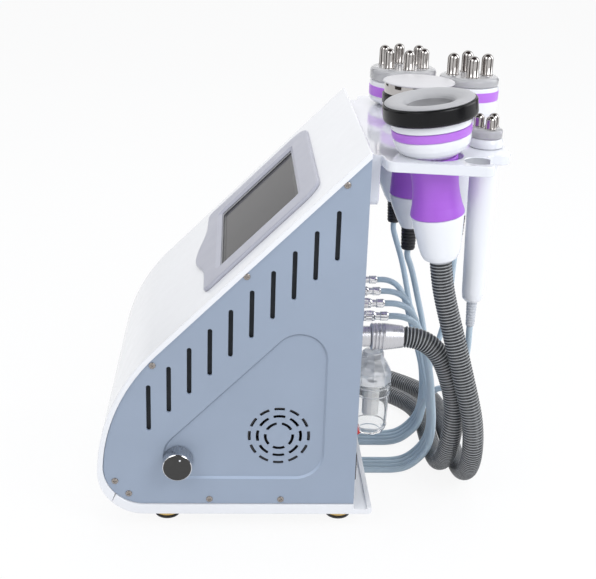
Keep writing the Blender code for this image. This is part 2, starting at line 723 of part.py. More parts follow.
def base_tray():
    outer = front_outline(0, CASE_FLOOR, math.radians(270))
    inner = front_outline(COVER_THICKNESS + GAP, PANEL_FLOOR - GAP, math.radians(270))
    corner, corner_radius, _, _ = casing_circles(0, CASE_FLOOR)
    seam = (corner[0] + corner_radius * math.cos(SEAM_ANGLE) + GAP,
            corner[1] + corner_radius * math.sin(SEAM_ANGLE) - GAP)
    outer_part = [point for point in outer if point[0] >= seam[0] and point[1] < corner[1]]
    inner_corner, inner_radius, _, _ = casing_circles(COVER_THICKNESS + GAP, PANEL_FLOOR - GAP)
    inner_seam = (inner_corner[0] + inner_radius * math.cos(SEAM_ANGLE) + GAP,
                  inner_corner[1] + inner_radius * math.sin(SEAM_ANGLE) - GAP)
    inner_part = [point for point in inner if point[0] >= inner_seam[0] and point[1] < inner_corner[1]]
    rim_top = CASE_FLOOR + LIP_HEIGHT
    lip = fillet([(LIP_END, CASE_FLOOR), (LIP_END, rim_top), (LIP_END - LIP_RIM, rim_top)],
                 [0, TRIM_ROUND, 0], closed=False)
    outline = ([seam] + outer_part + lip
               + [(LIP_END - LIP_RIM, rim_top - LIP_RIM_HEIGHT), (CASE_BACK + GAP, rim_top - LIP_RIM_HEIGHT),
                  (CASE_BACK + GAP, TRAY_TOP)]
               + list(reversed(inner_part)) + [inner_seam])
    tray = plate("base_tray", [outline], 2 * HALF_WIDTH)
    put(tray, "white_shell", rotation=SIDE_VIEW)
    pocket_front = corner[0]
    pocket_back = CASE_BACK - TRAY_WALL
    pocket = block("tray_pocket", (2 * (HALF_WIDTH - TRAY_WALL), pocket_back - pocket_front,
                                   TRAY_TOP - TRAY_INSIDE + OVERRUN))
    combine(tray, at(pocket, (0, (pocket_front + pocket_back) / 2, TRAY_INSIDE)), "DIFFERENCE")
    return tray


def panel_outline():
    inset = COVER_THICKNESS + GAP
    front = front_outline(inset, PANEL_FLOOR, math.radians(270))
    back = CASE_BACK - GAP / 2
    return [slope_point(back, inset)] + front + [(back, PANEL_FLOOR)]


def stadium(centre, length, width):
    """An upright slot with round ends."""
    radius = width / 2
    half = length / 2 - radius
    y, z = centre
    return arc((y, z + half), radius, 0, math.pi) + arc((y, z - half), radius, math.pi, 2 * math.pi)


def coarse(points, every):
    """Keep every so many points of a small round outline."""
    return points[::every]


def vent_slots():
    slots = []
    for index in range(SLOT_COUNT):
        top = (SLOT_FIRST_Y + index * SLOT_PITCH[0],
               SLOT_FIRST_Y + SLOPE_OFFSET - SLOT_DROP + index * SLOT_PITCH[1])
        slots.append(coarse(stadium((top[0], top[1] - SLOT_LENGTH / 2), SLOT_LENGTH, SLOT_WIDTH), 5))
    return slots


def grille_slots():
    """Arc slots in rings round the fan's centre."""
    slots = []
    for radius, count, start in zip(GRILLE_RADII, GRILLE_COUNTS, GRILLE_STARTS):
        half_angle = math.pi / count - GRILLE_BRIDGE / 2 / radius
        inner = radius - GRILLE_SLOT_WIDTH / 2
        outer = radius + GRILLE_SLOT_WIDTH / 2
        for index in range(count):
            middle = start + index * 2 * math.pi / count
            angles = (middle - half_angle, middle, middle + half_angle)
            ring = [(FAN_CENTRE[0] + outer * math.cos(a), FAN_CENTRE[1] + outer * math.sin(a)) for a in angles]
            ring += [(FAN_CENTRE[0] + inner * math.cos(a), FAN_CENTRE[1] + inner * math.sin(a))
                     for a in reversed(angles)]
            slots.append(ring)
    return slots


def relief_outline(shrink):
    """The three-cornered relief; SHRINK moves its sides in for the sloping wall."""
    slope = SLOPE_OFFSET - RELIEF_DROP - shrink * math.sqrt(2)
    right = RELIEF_RIGHT - shrink
    bottom = RELIEF_BOTTOM + shrink
    corners = [(bottom - slope, bottom), (right, bottom), (right, right + slope)]
    return fillet(corners, [radius - shrink for radius in RELIEF_RADII])


def side_panel(name, side):
    """One side panel; SIDE is +1 for the knob side and -1 for the plain side."""
    holes = vent_slots() + grille_slots()
    if side > 0:
        holes.append(arc(KNOB_CENTRE, STEM_RADIUS + GAP, 0, 2 * math.pi)[:-1:2])
    panel = plate(name, [panel_outline()] + holes, PANEL_THICKNESS)
    put(panel, "panel_grey", (side * (PANEL_OUTER - PANEL_THICKNESS / 2), 0, 0), SIDE_VIEW)
    relief = loft(f"{name}_relief", [(relief_outline(RELIEF_DEPTH), 0),
                                     (relief_outline(-OVERRUN), RELIEF_DEPTH + OVERRUN)])
    if side > 0:
        at(relief, (PANEL_OUTER - RELIEF_DEPTH, 0, 0), SIDE_VIEW)
    else:
        at(relief, (-PANEL_OUTER + RELIEF_DEPTH, 0, 0), SIDE_VIEW)
        relief.scale = (1, 1, -1)
    combine(panel, relief, "DIFFERENCE")
    return panel


def loft(name, layers):
    """A closed solid through outlines with as many points each, given as (outline, height) from below."""
    form = bmesh.new()
    rings = [[form.verts.new((x, y, height)) for x, y in outline] for outline, height in layers]
    form.faces.new(rings[0])
    form.faces.new(rings[-1])
    count = len(rings[0])
    for low, high in zip(rings, rings[1:]):
        for index in range(count):
            following = (index + 1) % count
            form.faces.new((low[index], low[following], high[following], high[index]))
    bmesh.ops.recalc_face_normals(form, faces=form.faces)
    return from_bmesh(name, form)


def back_panel():
    """The rear wall with a hole for each fitting that passes through it; its local X is turned round."""
    top = slope_point(CASE_BACK - BACK_PANEL_THICKNESS, COVER_THICKNESS + 2 * GAP)[1]
    half = PANEL_INNER - GAP
    bottom = PANEL_FLOOR
    outline = [(-half, bottom), (half, bottom), (half, top), (-half, top)]
    holes = [arc((-x, SOCKET_HEIGHT), SOCKET_THREAD_RADIUS + GAP, 0, 2 * math.pi)[:-1:3] for x in SOCKET_XS]
    holes.append(arc((-HOSE_PORT[0], HOSE_PORT[1]), HOSE_THREAD_RADIUS + GAP, 0, 2 * math.pi)[:-1:2])
    holes.append(arc((-FILTER_AT[0], filter_boss_height()), FILTER_STUB_RADIUS + GAP, 0, 2 * math.pi)[:-1:3])
    for (x, z), (half_x, half_z) in (((SWITCH_AT), SWITCH_HALF), (INLET_AT, INLET_BODY)):
        grown_x = half_x + GAP
        grown_z = half_z + GAP
        holes.append([(-x - grown_x, z - grown_z), (-x + grown_x, z - grown_z),
                      (-x + grown_x, z + grown_z), (-x - grown_x, z + grown_z)])
    panel = plate("back_panel", [outline] + holes, BACK_PANEL_THICKNESS)
    middle = CASE_BACK - BACK_PANEL_THICKNESS / 2
    return put(panel, "panel_grey", (0, middle, 0), (math.pi / 2, 0, math.pi))


# Screen

def slope_turn():
    """Local X along the machine's width, local Y up the slope, local Z out of it."""
    return (math.radians(45), 0, 0)


def slope_place(down, out):
    """A point on the middle line of the slope, DOWN from its top back edge and OUT from its face."""
    share = math.sqrt(0.5)
    return (0, CASE_BACK - down * share - out * share, CASE_BACK + SLOPE_OFFSET - down * share + out * share)


def window_outline(grow):
    """The window in the slope's own plane; GROW widens it all round."""
    half = WINDOW_HALF_WIDTH + grow
    top = -WINDOW_TOP + grow
    bottom = -WINDOW_BOTTOM - grow
    return fillet([(-half, bottom), (half, bottom), (half, top), (-half, top)], [WINDOW_CORNER + grow] * 4)


def bezel_outline():
    """The bezel's outline: its right half from the bulge at the bottom up, and the mirror image."""
    steps = BEZEL_BULGE_STEPS
    wave = [(BEZEL_BULGE_HALF_WIDTH * step / steps,
             -BEZEL_LEDGE - BEZEL_BULGE * (1 + math.cos(math.pi * step / steps)) / 2) for step in range(1, steps)]
    corners = fillet([(BEZEL_BULGE_HALF_WIDTH, -BEZEL_LEDGE), (BEZEL_HALF_WIDTH, -BEZEL_LEDGE + BEZEL_LEDGE_RISE),
                      (BEZEL_HALF_WIDTH, -BEZEL_TOP), (0, -BEZEL_TOP)],
                     [0, BEZEL_LOWER_CORNER, BEZEL_TOP_CORNER, 0], closed=False)[:-1]
    return [(0, -BEZEL_LOWEST)] + mirrored(wave + corners)


def screen_bezel():
    bezel = plate("screen_bezel", [bezel_outline()], BEZEL_HEIGHT, BEZEL_EDGE)
    put(bezel, "bezel_lilac", slope_place(0, BEZEL_HEIGHT / 2 + GAP), slope_turn())
    step = BEZEL_HEIGHT / 3
    window = loft("bezel_window", [(window_outline(0), -step), (window_outline(0), step),
                                   (window_outline(WINDOW_BEVEL), 4 * step)])
    combine(bezel, at(window, slope_place(0, GAP), slope_turn()), "DIFFERENCE")
    return bezel


def touch_glass():
    glass = plate("touch_glass", [window_outline(-GAP)], GLASS_THICKNESS)
    return put(glass, "screen_glass", slope_place(0, -GLASS_SINK - GLASS_THICKNESS / 2), slope_turn())


def display_module():
    """The display behind the glass: a raised middle in the opening, a flange behind the cover, a driver box."""
    middle_top = -GLASS_SINK - GLASS_THICKNESS - GAP
    flange_top = -COVER_THICKNESS - GAP
    centre_down = (WINDOW_TOP + WINDOW_BOTTOM) / 2
    half_width = WINDOW_HALF_WIDTH + DISPLAY_BORDER
    half_height = (WINDOW_BOTTOM - WINDOW_TOP) / 2 + DISPLAY_BORDER
    module = block("display_module", (2 * half_width, 2 * half_height, DISPLAY_FLANGE))
    put(module, "dark_plastic", slope_place(centre_down, flange_top - DISPLAY_FLANGE), slope_turn())
    thickness = middle_top - flange_top + DISPLAY_FLANGE / 2
    raised = plate("display_middle", [window_outline(-2 * GAP)], thickness)
    at(raised, slope_place(0, middle_top - thickness / 2), slope_turn())
    combine(module, raised, "UNION")
    half_x, half_y, depth = DISPLAY_BACK
    driver = block("display_driver", (2 * half_x, 2 * half_y, depth + DISPLAY_FLANGE / 2))
    at(driver, slope_place(centre_down, flange_top - DISPLAY_FLANGE - depth), slope_turn())
    return combine(module, driver, "UNION")


# Knob and regulator, turned about the X axis through the knob's centre

def knob():
    """The knob and its stem in one piece: local Z runs inwards from the face."""
    length = KNOB_REACH - GAP
    stem_end = length + STEM_LENGTH
    profile = [(0, 0), (KNOB_RADIUS - KNOB_CHAMFER, 0), (KNOB_RADIUS, -KNOB_CHAMFER),
               (KNOB_RADIUS, -length + 3 * KNOB_SKIRT), (KNOB_RADIUS + KNOB_SKIRT, -length + 2 * KNOB_SKIRT),
               (KNOB_RADIUS + KNOB_SKIRT, -length), (STEM_RADIUS, -length), (STEM_RADIUS, -stem_end),
               (0, -stem_end)]
    piece = turned("knob", profile)
    face = PANEL_OUTER - RELIEF_DEPTH + KNOB_REACH
    return put(piece, "dark_plastic", (face, *KNOB_CENTRE), TO_RIGHT)


def regulator_body():
    """The needle valve behind the panel, with a blind bore for the stem and two hose barbs."""
    bore = STEM_RADIUS + GAP
    total = REGULATOR_NUT_LENGTH + REGULATOR_BODY_LENGTH
    bore_depth = STEM_LENGTH
    nut_step = (REGULATOR_BODY_RADIUS, -REGULATOR_NUT_LENGTH)
    profile = [(bore, 0), (REGULATOR_NUT_RADIUS, 0), (REGULATOR_NUT_RADIUS, -REGULATOR_NUT_LENGTH), nut_step,
               (REGULATOR_BODY_RADIUS, -total), (0, -total), (0, -bore_depth), (bore, -bore_depth)]
    body = turned("regulator_body", profile, SMALL_STEPS, ring=True)
    face = PANEL_INNER - GAP
    put(body, "brass", (face, *KNOB_CENTRE), TO_RIGHT)
    reach = REGULATOR_BODY_RADIUS + REGULATOR_BARB_LENGTH
    barbs = rod("regulator_barbs", REGULATOR_BARB_RADIUS, 2 * reach, SMALL_STEPS // 2)
    at(barbs, (face - total * 0.75, KNOB_CENTRE[0], KNOB_CENTRE[1] - reach))
    return combine(body, barbs, "UNION")


# Fan

def fan_frame():
    half = FAN_HALF_SIZE
    square = fillet([(-half, -half), (half, -half), (half, half), (-half, half)], [FAN_CORNER] * 4)
    frame = plate("fan_frame", [square, arc((0, 0), FAN_BORE, 0, 2 * math.pi)[:-1:2]], FAN_DEPTH)
    face = PANEL_INNER - GAP
    put(frame, "dark_plastic", (face - FAN_DEPTH / 2, *FAN_CENTRE), SIDE_VIEW)
    back = face - FAN_DEPTH
    for index in range(2):
        spoke = block(f"fan_spoke_{index}", (FAN_SPOKE, 2 * FAN_BORE + FAN_SPOKE, FAN_SPOKE))
        turn = Matrix.Rotation(math.radians(45 + 90 * index), 4, "X") @ Matrix.Rotation(math.pi / 2, 4, "Y")
        at(spoke, (back, *FAN_CENTRE), turn.to_euler())
        combine(frame, spoke, "UNION")
    boss = rod("fan_boss", FAN_BOSS_RADIUS, FAN_BOSS_DEPTH)
    combine(frame, at(boss, (back, *FAN_CENTRE), TO_RIGHT), "UNION")
    bore = rod("fan_bore", ROTOR_PIN_RADIUS + GAP, ROTOR_PIN_LENGTH + OVERRUN, SMALL_STEPS // 2)
    return combine(frame, at(bore, (back + FAN_BOSS_DEPTH - ROTOR_PIN_LENGTH, *FAN_CENTRE), TO_RIGHT),
                   "DIFFERENCE")


def rotor_blade(name):
    """One twisted blade lying along local X, with the fan's axis as local Z."""
    form = bmesh.new()
    bmesh.ops.create_grid(form, x_segments=2, y_segments=1, size=1)
    root = ROTOR_HUB_RADIUS - BLADE_THICKNESS
    half_chord = ROTOR_DEPTH / 2 - BLADE_THICKNESS / 2
    for vertex in form.verts:
        share = (vertex.co.x + 1) / 2
        pitch = BLADE_ROOT_PITCH + (BLADE_TIP_PITCH - BLADE_ROOT_PITCH) * share
        reach = half_chord / math.sin(pitch) * vertex.co.y
        radius = root + (ROTOR_TIP_RADIUS - root) * share
        angle = reach * math.cos(pitch) / radius
        vertex.co = (radius * math.cos(angle), radius * math.sin(angle), reach * math.sin(pitch))
    blade = from_bmesh(name, form)
    shell = blade.modifiers.new("thickness", "SOLIDIFY")
    shell.thickness = BLADE_THICKNESS
    shell.offset = 0
    return blade


def fan_rotor():
    """Hub, pin and blades as one piece that turns in the frame's boss."""
    profile = [(0, ROTOR_DEPTH), (ROTOR_HUB_RADIUS - TRIM_ROUND, ROTOR_DEPTH),
               (ROTOR_HUB_RADIUS, ROTOR_DEPTH - TRIM_ROUND), (ROTOR_HUB_RADIUS, 0), (ROTOR_PIN_RADIUS, 0),
               (ROTOR_PIN_RADIUS, -ROTOR_PIN_LENGTH + GAP), (0, -ROTOR_PIN_LENGTH + GAP)]
    rotor = turned("fan_rotor", profile, SMALL_STEPS)
    place = (PANEL_INNER - GAP - FAN_DEPTH + FAN_BOSS_DEPTH + GAP, *FAN_CENTRE)
    put(rotor, "dark_plastic", place, TO_RIGHT)
    for index in range(ROTOR_BLADES):
        blade = rotor_blade(f"fan_blade_{index}")
        spin = Matrix.Rotation(2 * math.pi * index / ROTOR_BLADES, 4, "Z")
        lift = Matrix.Translation((0, 0, ROTOR_DEPTH / 2))
        blade.data.transform(lift @ spin)
        at(blade, place, TO_RIGHT)
        combine(rotor, blade, "UNION")
    return rotor


# Pieces on the tray and the panels

def vacuum_pump():
    """Base, diaphragm head and motor lying along Y, with two barbs on top of the head."""
    x, y = PUMP_AT
    floor = TRAY_INSIDE + GAP
    head_x, head_y, head_z = PUMP_HEAD
    base_x, base_y, base_z = PUMP_BASE
    base = block("vacuum_pump", (base_x, base_y + head_y, base_z))
    put(base, "steel", (x, y, floor))
    head_middle = y - (base_y + head_y) / 2 + head_y / 2
    head = block("pump_head", (head_x, head_y, head_z - base_z / 2))
    combine(base, at(head, (x, head_middle, floor + base_z / 2)), "UNION")
    motor = rod("pump_motor", PUMP_MOTOR_RADIUS, PUMP_MOTOR_LENGTH + head_y / 2)
    centre_height = floor + base_z + PUMP_MOTOR_RADIUS - GAP
    combine(base, at(motor, (x, head_middle, centre_height), TO_BACK), "UNION")
    for side in (-1, 1):
        barb = rod(f"pump_barb_{side + 1}", PUMP_BARB_RADIUS, PUMP_BARB_LENGTH + base_z, SMALL_STEPS // 2)
        at(barb, (x + side * head_x / 4, head_middle, floor + head_z - base_z))
        combine(base, barb, "UNION")
    return base


def power_supply():
    x, y = SUPPLY_AT
    floor = TRAY_INSIDE + GAP
    width, depth, height = SUPPLY_SIZE
    supply = block("power_supply", (width, depth, height))
    edge_bevel(supply, SUPPLY_FLANGE, segments=1)
    put(supply, "steel", (x, y, floor))
    flange = block("supply_flange", (width / 2, depth + 2 * SUPPLY_FLANGE_REACH, SUPPLY_FLANGE))
    return combine(supply, at(flange, (x, y, floor)), "UNION")


def control_board():
    """The board on four posts against the plain side panel, with its heat sink and transformer."""
    y, z = BOARD_AT
    width, height = BOARD_SIZE
    wall = -PANEL_INNER + GAP
    face = wall + BOARD_STANDOFF
    board = plate("control_board", [[(-width / 2, -height / 2), (width / 2, -height / 2),
                                     (width / 2, height / 2), (-width / 2, height / 2)]], BOARD_THICKNESS)
    put(board, "board_green", (face + BOARD_THICKNESS / 2, y, z), SIDE_VIEW)
    for side in (-1, 1):
        for end in (-1, 1):
            post = rod(f"board_post_{side + 1}{end + 1}", BOARD_POST_RADIUS, BOARD_STANDOFF + BOARD_THICKNESS / 2,
                       SMALL_STEPS // 2)
            at(post, (wall, y + side * (width / 2 - BOARD_POST_INSET), z + end * (height / 2 - BOARD_POST_INSET)),
               TO_RIGHT)
            combine(board, post, "UNION")
    for name, (long, tall, deep), shift in (("heat_sink", HEAT_SINK, -1), ("transformer", TRANSFORMER, 1)):
        chip = plate(name, [[(-long / 2, -tall / 2), (long / 2, -tall / 2), (long / 2, tall / 2),
                             (-long / 2, tall / 2)]], deep + BOARD_THICKNESS / 2)
        middle = face + BOARD_THICKNESS / 2 + (deep + BOARD_THICKNESS / 2) / 2
        at(chip, (middle, y + shift * width / 4, z + shift * height / 5), SIDE_VIEW)
        combine(board, chip, "UNION")
    return board


# Back panel fittings, turned about axes that point to the back

def fitting(name, profile, finish, x, y, z, steps=SMALL_STEPS, ring=False):
    """A turned piece whose profile height is its distance behind the point (x, y, z)."""
    return put(turned(name, profile, steps, ring), finish, (x, y, z), TO_BACK)


def cable_socket(index, x):
    nose = SOCKET_FLANGE + SOCKET_NOSE
    inner = -BACK_PANEL_THICKNESS - 2 * GAP
    nut = inner - SOCKET_NUT
    profile = [(0, nose), (SOCKET_THREAD_RADIUS - TRIM_ROUND / 2, nose), (SOCKET_THREAD_RADIUS, nose - TRIM_ROUND),
               (SOCKET_THREAD_RADIUS, SOCKET_FLANGE), (SOCKET_FLANGE_RADIUS, SOCKET_FLANGE),
               (SOCKET_FLANGE_RADIUS, 0), (SOCKET_THREAD_RADIUS, 0), (SOCKET_THREAD_RADIUS, inner),
               (SOCKET_NUT_RADIUS, inner), (SOCKET_NUT_RADIUS, nut), (SOCKET_THREAD_RADIUS, nut),
               (SOCKET_THREAD_RADIUS, nut - SOCKET_TAIL), (0, nut - SOCKET_TAIL)]
    return fitting(f"cable_socket_{index}", profile, "chrome", x, BACK_FACE + GAP, SOCKET_HEIGHT, 12)


def cable_plug(index, x):
    start = BACK_FACE + 2 * GAP + SOCKET_FLANGE + SOCKET_NOSE
    length = PLUG_END - start
    cap_start = length - PLUG_CAP_LENGTH
    profile = [(0, length), (PLUG_CAP_RADIUS - TRIM_ROUND, length), (PLUG_CAP_RADIUS, length - 2 * TRIM_ROUND),
               (PLUG_CAP_RADIUS, cap_start), (PLUG_NECK_RADIUS, cap_start),
               (PLUG_NECK_RADIUS, PLUG_NUT_LENGTH + TRIM_ROUND), (PLUG_NUT_RADIUS - TRIM_ROUND / 2, PLUG_NUT_LENGTH),
               (PLUG_NUT_RADIUS, PLUG_NUT_LENGTH - TRIM_ROUND), (PLUG_NUT_RADIUS, TRIM_ROUND),
               (PLUG_NUT_RADIUS - TRIM_ROUND / 2, 0), (0, 0)]
    return fitting(f"cable_plug_{index}", profile, "chrome", x, start, SOCKET_HEIGHT, 12)


def hose_socket():
    nose = HOSE_NOSE_END - BACK_FACE - GAP
    tail = -BACK_PANEL_THICKNESS - SOCKET_TAIL
    profile = [(0, nose), (HOSE_THREAD_RADIUS, nose), (HOSE_THREAD_RADIUS, HOSE_FLANGE + TRIM_ROUND),
               (HOSE_FLANGE_RADIUS - TRIM_ROUND, HOSE_FLANGE), (HOSE_FLANGE_RADIUS, HOSE_FLANGE - TRIM_ROUND),
               (HOSE_FLANGE_RADIUS, 0), (HOSE_THREAD_RADIUS, 0), (HOSE_THREAD_RADIUS, tail), (0, tail)]
    return fitting("hose_socket", profile, "aluminium", HOSE_PORT[0], BACK_FACE + GAP, HOSE_PORT[1])


def hose_plug():
    """The hose's end fitting: a grooved ring and a cone down to the hose."""
    start = HOSE_NOSE_END + GAP
    length = HOSE_PLUG_END - start
    grooves = []
    for index in reversed(range(HOSE_GROOVES)):
        middle = HOSE_GROOVE_PITCH * (index + 1)
        half = HOSE_GROOVE_WIDTH / 2
        deep = HOSE_PLUG_RADIUS - HOSE_GROOVE_DEPTH
        grooves += [(HOSE_PLUG_RADIUS, middle + half), (deep, middle + half / 2), (deep, middle - half / 2),
                    (HOSE_PLUG_RADIUS, middle - half)]
    ring_end = HOSE_GROOVE_PITCH * (HOSE_GROOVES + 1)
    profile = ([(0, length), (HOSE_PLUG_TIP_RADIUS, length), (HOSE_PLUG_RADIUS, ring_end)] + grooves
               + [(HOSE_PLUG_RADIUS, TRIM_ROUND), (HOSE_PLUG_RADIUS - TRIM_ROUND, 0), (0, 0)])
    return fitting("hose_plug", profile, "aluminium", HOSE_PORT[0], start, HOSE_PORT[1])


def filter_boss_height():
    return (FILTER_HEAD_TOP + FILTER_HEAD_BOTTOM) / 2 + FILTER_HEAD_SHOULDER / 2


def filter_head():
    """The filter's head on a boss at the back panel, with a stub through the panel and a nipple below."""
    top = FILTER_HEAD_TOP - FILTER_HEAD_BOTTOM
    neck = FILTER_HEAD_RADIUS - FILTER_HEAD_SHOULDER
    profile = [(0, top), (neck - TRIM_ROUND, top), (neck, top - TRIM_ROUND), (neck, top / 2 + FILTER_HEAD_SHOULDER),
               (FILTER_HEAD_RADIUS, top / 2), (FILTER_HEAD_RADIUS, TRIM_ROUND),
               (FILTER_HEAD_RADIUS - TRIM_ROUND, 0), (FILTER_NIPPLE_RADIUS, 0),
               (FILTER_NIPPLE_RADIUS, -FILTER_NIPPLE_LENGTH), (0, -FILTER_NIPPLE_LENGTH)]
    head = put(turned("filter_head", profile), "dark_plastic", (*FILTER_AT, FILTER_HEAD_BOTTOM))
    height = filter_boss_height()
    boss_length = FILTER_AT[1] - BACK_FACE - GAP
    boss = plate("filter_boss", [[(-FILTER_BOSS_HALF, -FILTER_BOSS_HALF), (FILTER_BOSS_HALF, -FILTER_BOSS_HALF),
                                  (FILTER_BOSS_HALF, FILTER_BOSS_HALF), (-FILTER_BOSS_HALF, FILTER_BOSS_HALF)]],
                 boss_length)
    combine(head, at(boss, (FILTER_AT[0], BACK_FACE + GAP + boss_length / 2, height), TO_BACK), "UNION")
    stub = rod("filter_stub", FILTER_STUB_RADIUS, FILTER_STUB_LENGTH + FILTER_BOSS_HALF)
    at(stub, (FILTER_AT[0], BACK_FACE - FILTER_STUB_LENGTH, height), TO_BACK)
    return combine(head, stub, "UNION")


def filter_bowl():
    """The clear bowl, open at the top, that screws to the head."""
    top = FILTER_HEAD_BOTTOM - GAP
    foot = FILTER_BOWL_FOOT_RADIUS
    rounding = FILTER_BOWL_ROUND
    inside = FILTER_BOWL_RADIUS - FILTER_WALL
    height = top - FILTER_BOWL_BOTTOM
    profile = [(FILTER_BOWL_RADIUS, height), (foot + TRIM_ROUND, rounding), (foot - rounding / 3, rounding / 3),
               (foot - rounding, 0), (0, 0), (0, FILTER_WALL), (foot - rounding, FILTER_WALL),
               (foot - FILTER_WALL, rounding + FILTER_WALL / 2), (inside, height)]
    return put(turned("filter_bowl", profile, ring=True), "clear_bowl", (*FILTER_AT, FILTER_BOWL_BOTTOM))


def filter_element():
    """The porous cup that hangs from the head's nipple."""
    top = FILTER_HEAD_BOTTOM - GAP
    bore = FILTER_NIPPLE_RADIUS + GAP
    length = FILTER_ELEMENT_LENGTH
    profile = [(bore, 0), (FILTER_ELEMENT_RADIUS, 0), (FILTER_ELEMENT_RADIUS, -length), (0, -length),
               (0, -FILTER_NIPPLE_LENGTH), (bore, -FILTER_NIPPLE_LENGTH)]
    return put(turned("filter_element", profile, 12, ring=True), "filter_white", (*FILTER_AT, top))


def switch_housing():
    """The rocker's frame in the back panel, open to the back."""
    x, z = SWITCH_AT
    half_x, half_z = SWITCH_HALF
    flange_x = half_x + SWITCH_FRAME
    flange_z = half_z + SWITCH_FRAME
    housing = block("switch_housing", (2 * flange_x, 2 * flange_z, SWITCH_FRAME_HEIGHT))
    put(housing, "dark_plastic", (x, BACK_FACE + GAP, z), TO_BACK)
    body = block("switch_body", (2 * half_x, 2 * half_z, SWITCH_DEPTH + SWITCH_FRAME_HEIGHT / 2))
    combine(housing, at(body, (x, BACK_FACE - SWITCH_DEPTH, z), TO_BACK), "UNION")
    cavity_depth = SWITCH_DEPTH - SWITCH_WALL
    cavity = block("switch_cavity", (2 * (half_x - SWITCH_WALL), 2 * (half_z - SWITCH_WALL),
                                     cavity_depth + SWITCH_FRAME_HEIGHT + OVERRUN))
    return combine(housing, at(cavity, (x, BACK_FACE - cavity_depth, z), TO_BACK), "DIFFERENCE")


def rocker_switch():
    """The red rocker: a shallow V with round ends about its pivot, drawn in side view at its rest tilt."""
    half_x, half_z = SWITCH_HALF
    reach = half_z - SWITCH_WALL - GAP
    end = arc((0, 0), reach, ROCKER_TIP_ANGLE, ROCKER_END_ANGLE)[::2]
    crest, tip = end[0]
    root = [(-ROCKER_ROOT, tip / 2)]
    upper = end + root
    shape = [(crest - tip * math.tan(ROCKER_ANGLE), 0)] + upper + [(x, -y) for x, y in reversed(upper)]
    rocker = plate("rocker_switch", [shape], 2 * (half_x - SWITCH_WALL - GAP))
    x, z = SWITCH_AT
    pivot = (x, BACK_FACE - ROCKER_PIVOT_SINK + SWITCH_FRAME_HEIGHT, z)
    tilt = (Matrix.Rotation(ROCKER_ANGLE, 4, "X") @ Matrix.Rotation(math.pi / 2, 4, "Z")
            @ Matrix.Rotation(math.pi / 2, 4, "X"))
    return put(rocker, "switch_red", pivot, tilt.to_euler())


def power_inlet():
    """A three-pin appliance inlet: flange, body and a cavity with its pins."""
    x, z = INLET_AT
    housing = block("power_inlet", (2 * INLET_FLANGE[0], 2 * INLET_FLANGE[1], INLET_FLANGE_HEIGHT))
    edge_bevel(housing, INLET_FLANGE_HEIGHT / 3, segments=1)
    put(housing, "dark_plastic", (x, BACK_FACE + GAP, z), TO_BACK)
    body = block("inlet_body", (2 * INLET_BODY[0], 2 * INLET_BODY[1], INLET_DEPTH + INLET_FLANGE_HEIGHT / 2))
    combine(housing, at(body, (x, BACK_FACE - INLET_DEPTH, z), TO_BACK), "UNION")
    depth = INLET_CAVITY_DEPTH
    cavity = plate("inlet_cavity", [fillet([(-INLET_CAVITY[0], -INLET_CAVITY[1]),
                                            (INLET_CAVITY[0], -INLET_CAVITY[1]),
                                            (INLET_CAVITY[0], INLET_CAVITY[1]),
                                            (-INLET_CAVITY[0], INLET_CAVITY[1])], [INLET_CORNER] * 4)],
                   depth + INLET_FLANGE_HEIGHT + OVERRUN)
    middle = BACK_FACE + (INLET_FLANGE_HEIGHT + OVERRUN - depth) / 2
    combine(housing, at(cavity, (x, middle, z), TO_BACK), "DIFFERENCE")
    for index in (-1, 0, 1):
        pin = block(f"inlet_pin_{index + 1}", (2 * INLET_PIN[0], 2 * INLET_PIN[1], INLET_PIN_LENGTH))
        rise = -abs(index) * INLET_PIN[1] + INLET_PIN[1] / 2
        at(pin, (x + index * INLET_PIN_PITCH, BACK_FACE - depth - OVERRUN / 2, z + rise), TO_BACK)
        combine(housing, pin, "UNION")
    return housing


# Holder plate

def suction_tilt():
    """Rotation of the leaning suction handpiece, and its angle from the vertical."""
    turn = Matrix.Rotation(SUCTION_LEAN[0], 4, "X") @ Matrix.Rotation(SUCTION_LEAN[1], 4, "Y")
    axis = turn @ Vector((0, 0, 1))
    return turn, math.acos(axis.z)


def suction_hole_radius():
    """The hole that the leaning grip's widest part passes with a clearance."""
    _, lean = suction_tilt()
    return SUCTION_FLARE_RADIUS / math.cos(lean) + PLATE_THICKNESS / 2 * math.tan(lean) + NECK_CLEARANCE


def suction_lift():
    """How far the leaning bowl stands up so that its low side just clears the hole's rim."""
    _, lean = suction_tilt()
    rim = suction_hole_radius()
    low = (SUCTION_SEAT_RADIUS * math.cos(lean), -SUCTION_SEAT_RADIUS * math.sin(lean))
    high = (SUCTION_BOWL_RADIUS * math.cos(lean) + SUCTION_BOWL_HEIGHT * math.sin(lean),
            SUCTION_BOWL_HEIGHT * math.cos(lean) - SUCTION_BOWL_RADIUS * math.sin(lean))
    share = (rim - low[0]) / (high[0] - low[0])
    return 2 * GAP - (low[1] + share * (high[1] - low[1]))


def handpiece_holes():
    """Place and radius of each hole in the plate."""
    handle = HANDLE_FLARE_RADIUS + NECK_CLEARANCE
    return ((SUCTION_AT, suction_hole_radius()), (CAVITATION_AT, handle), (SIX_AT, handle),
            (FOUR_AT, handle), (THREE_AT, THREE_NECK_RADIUS + NECK_CLEARANCE),
            (SPARE_HOLE, SPARE_HOLE_RADIUS), ((-SPARE_HOLE[0], SPARE_HOLE[1]), SPARE_HOLE_RADIUS))


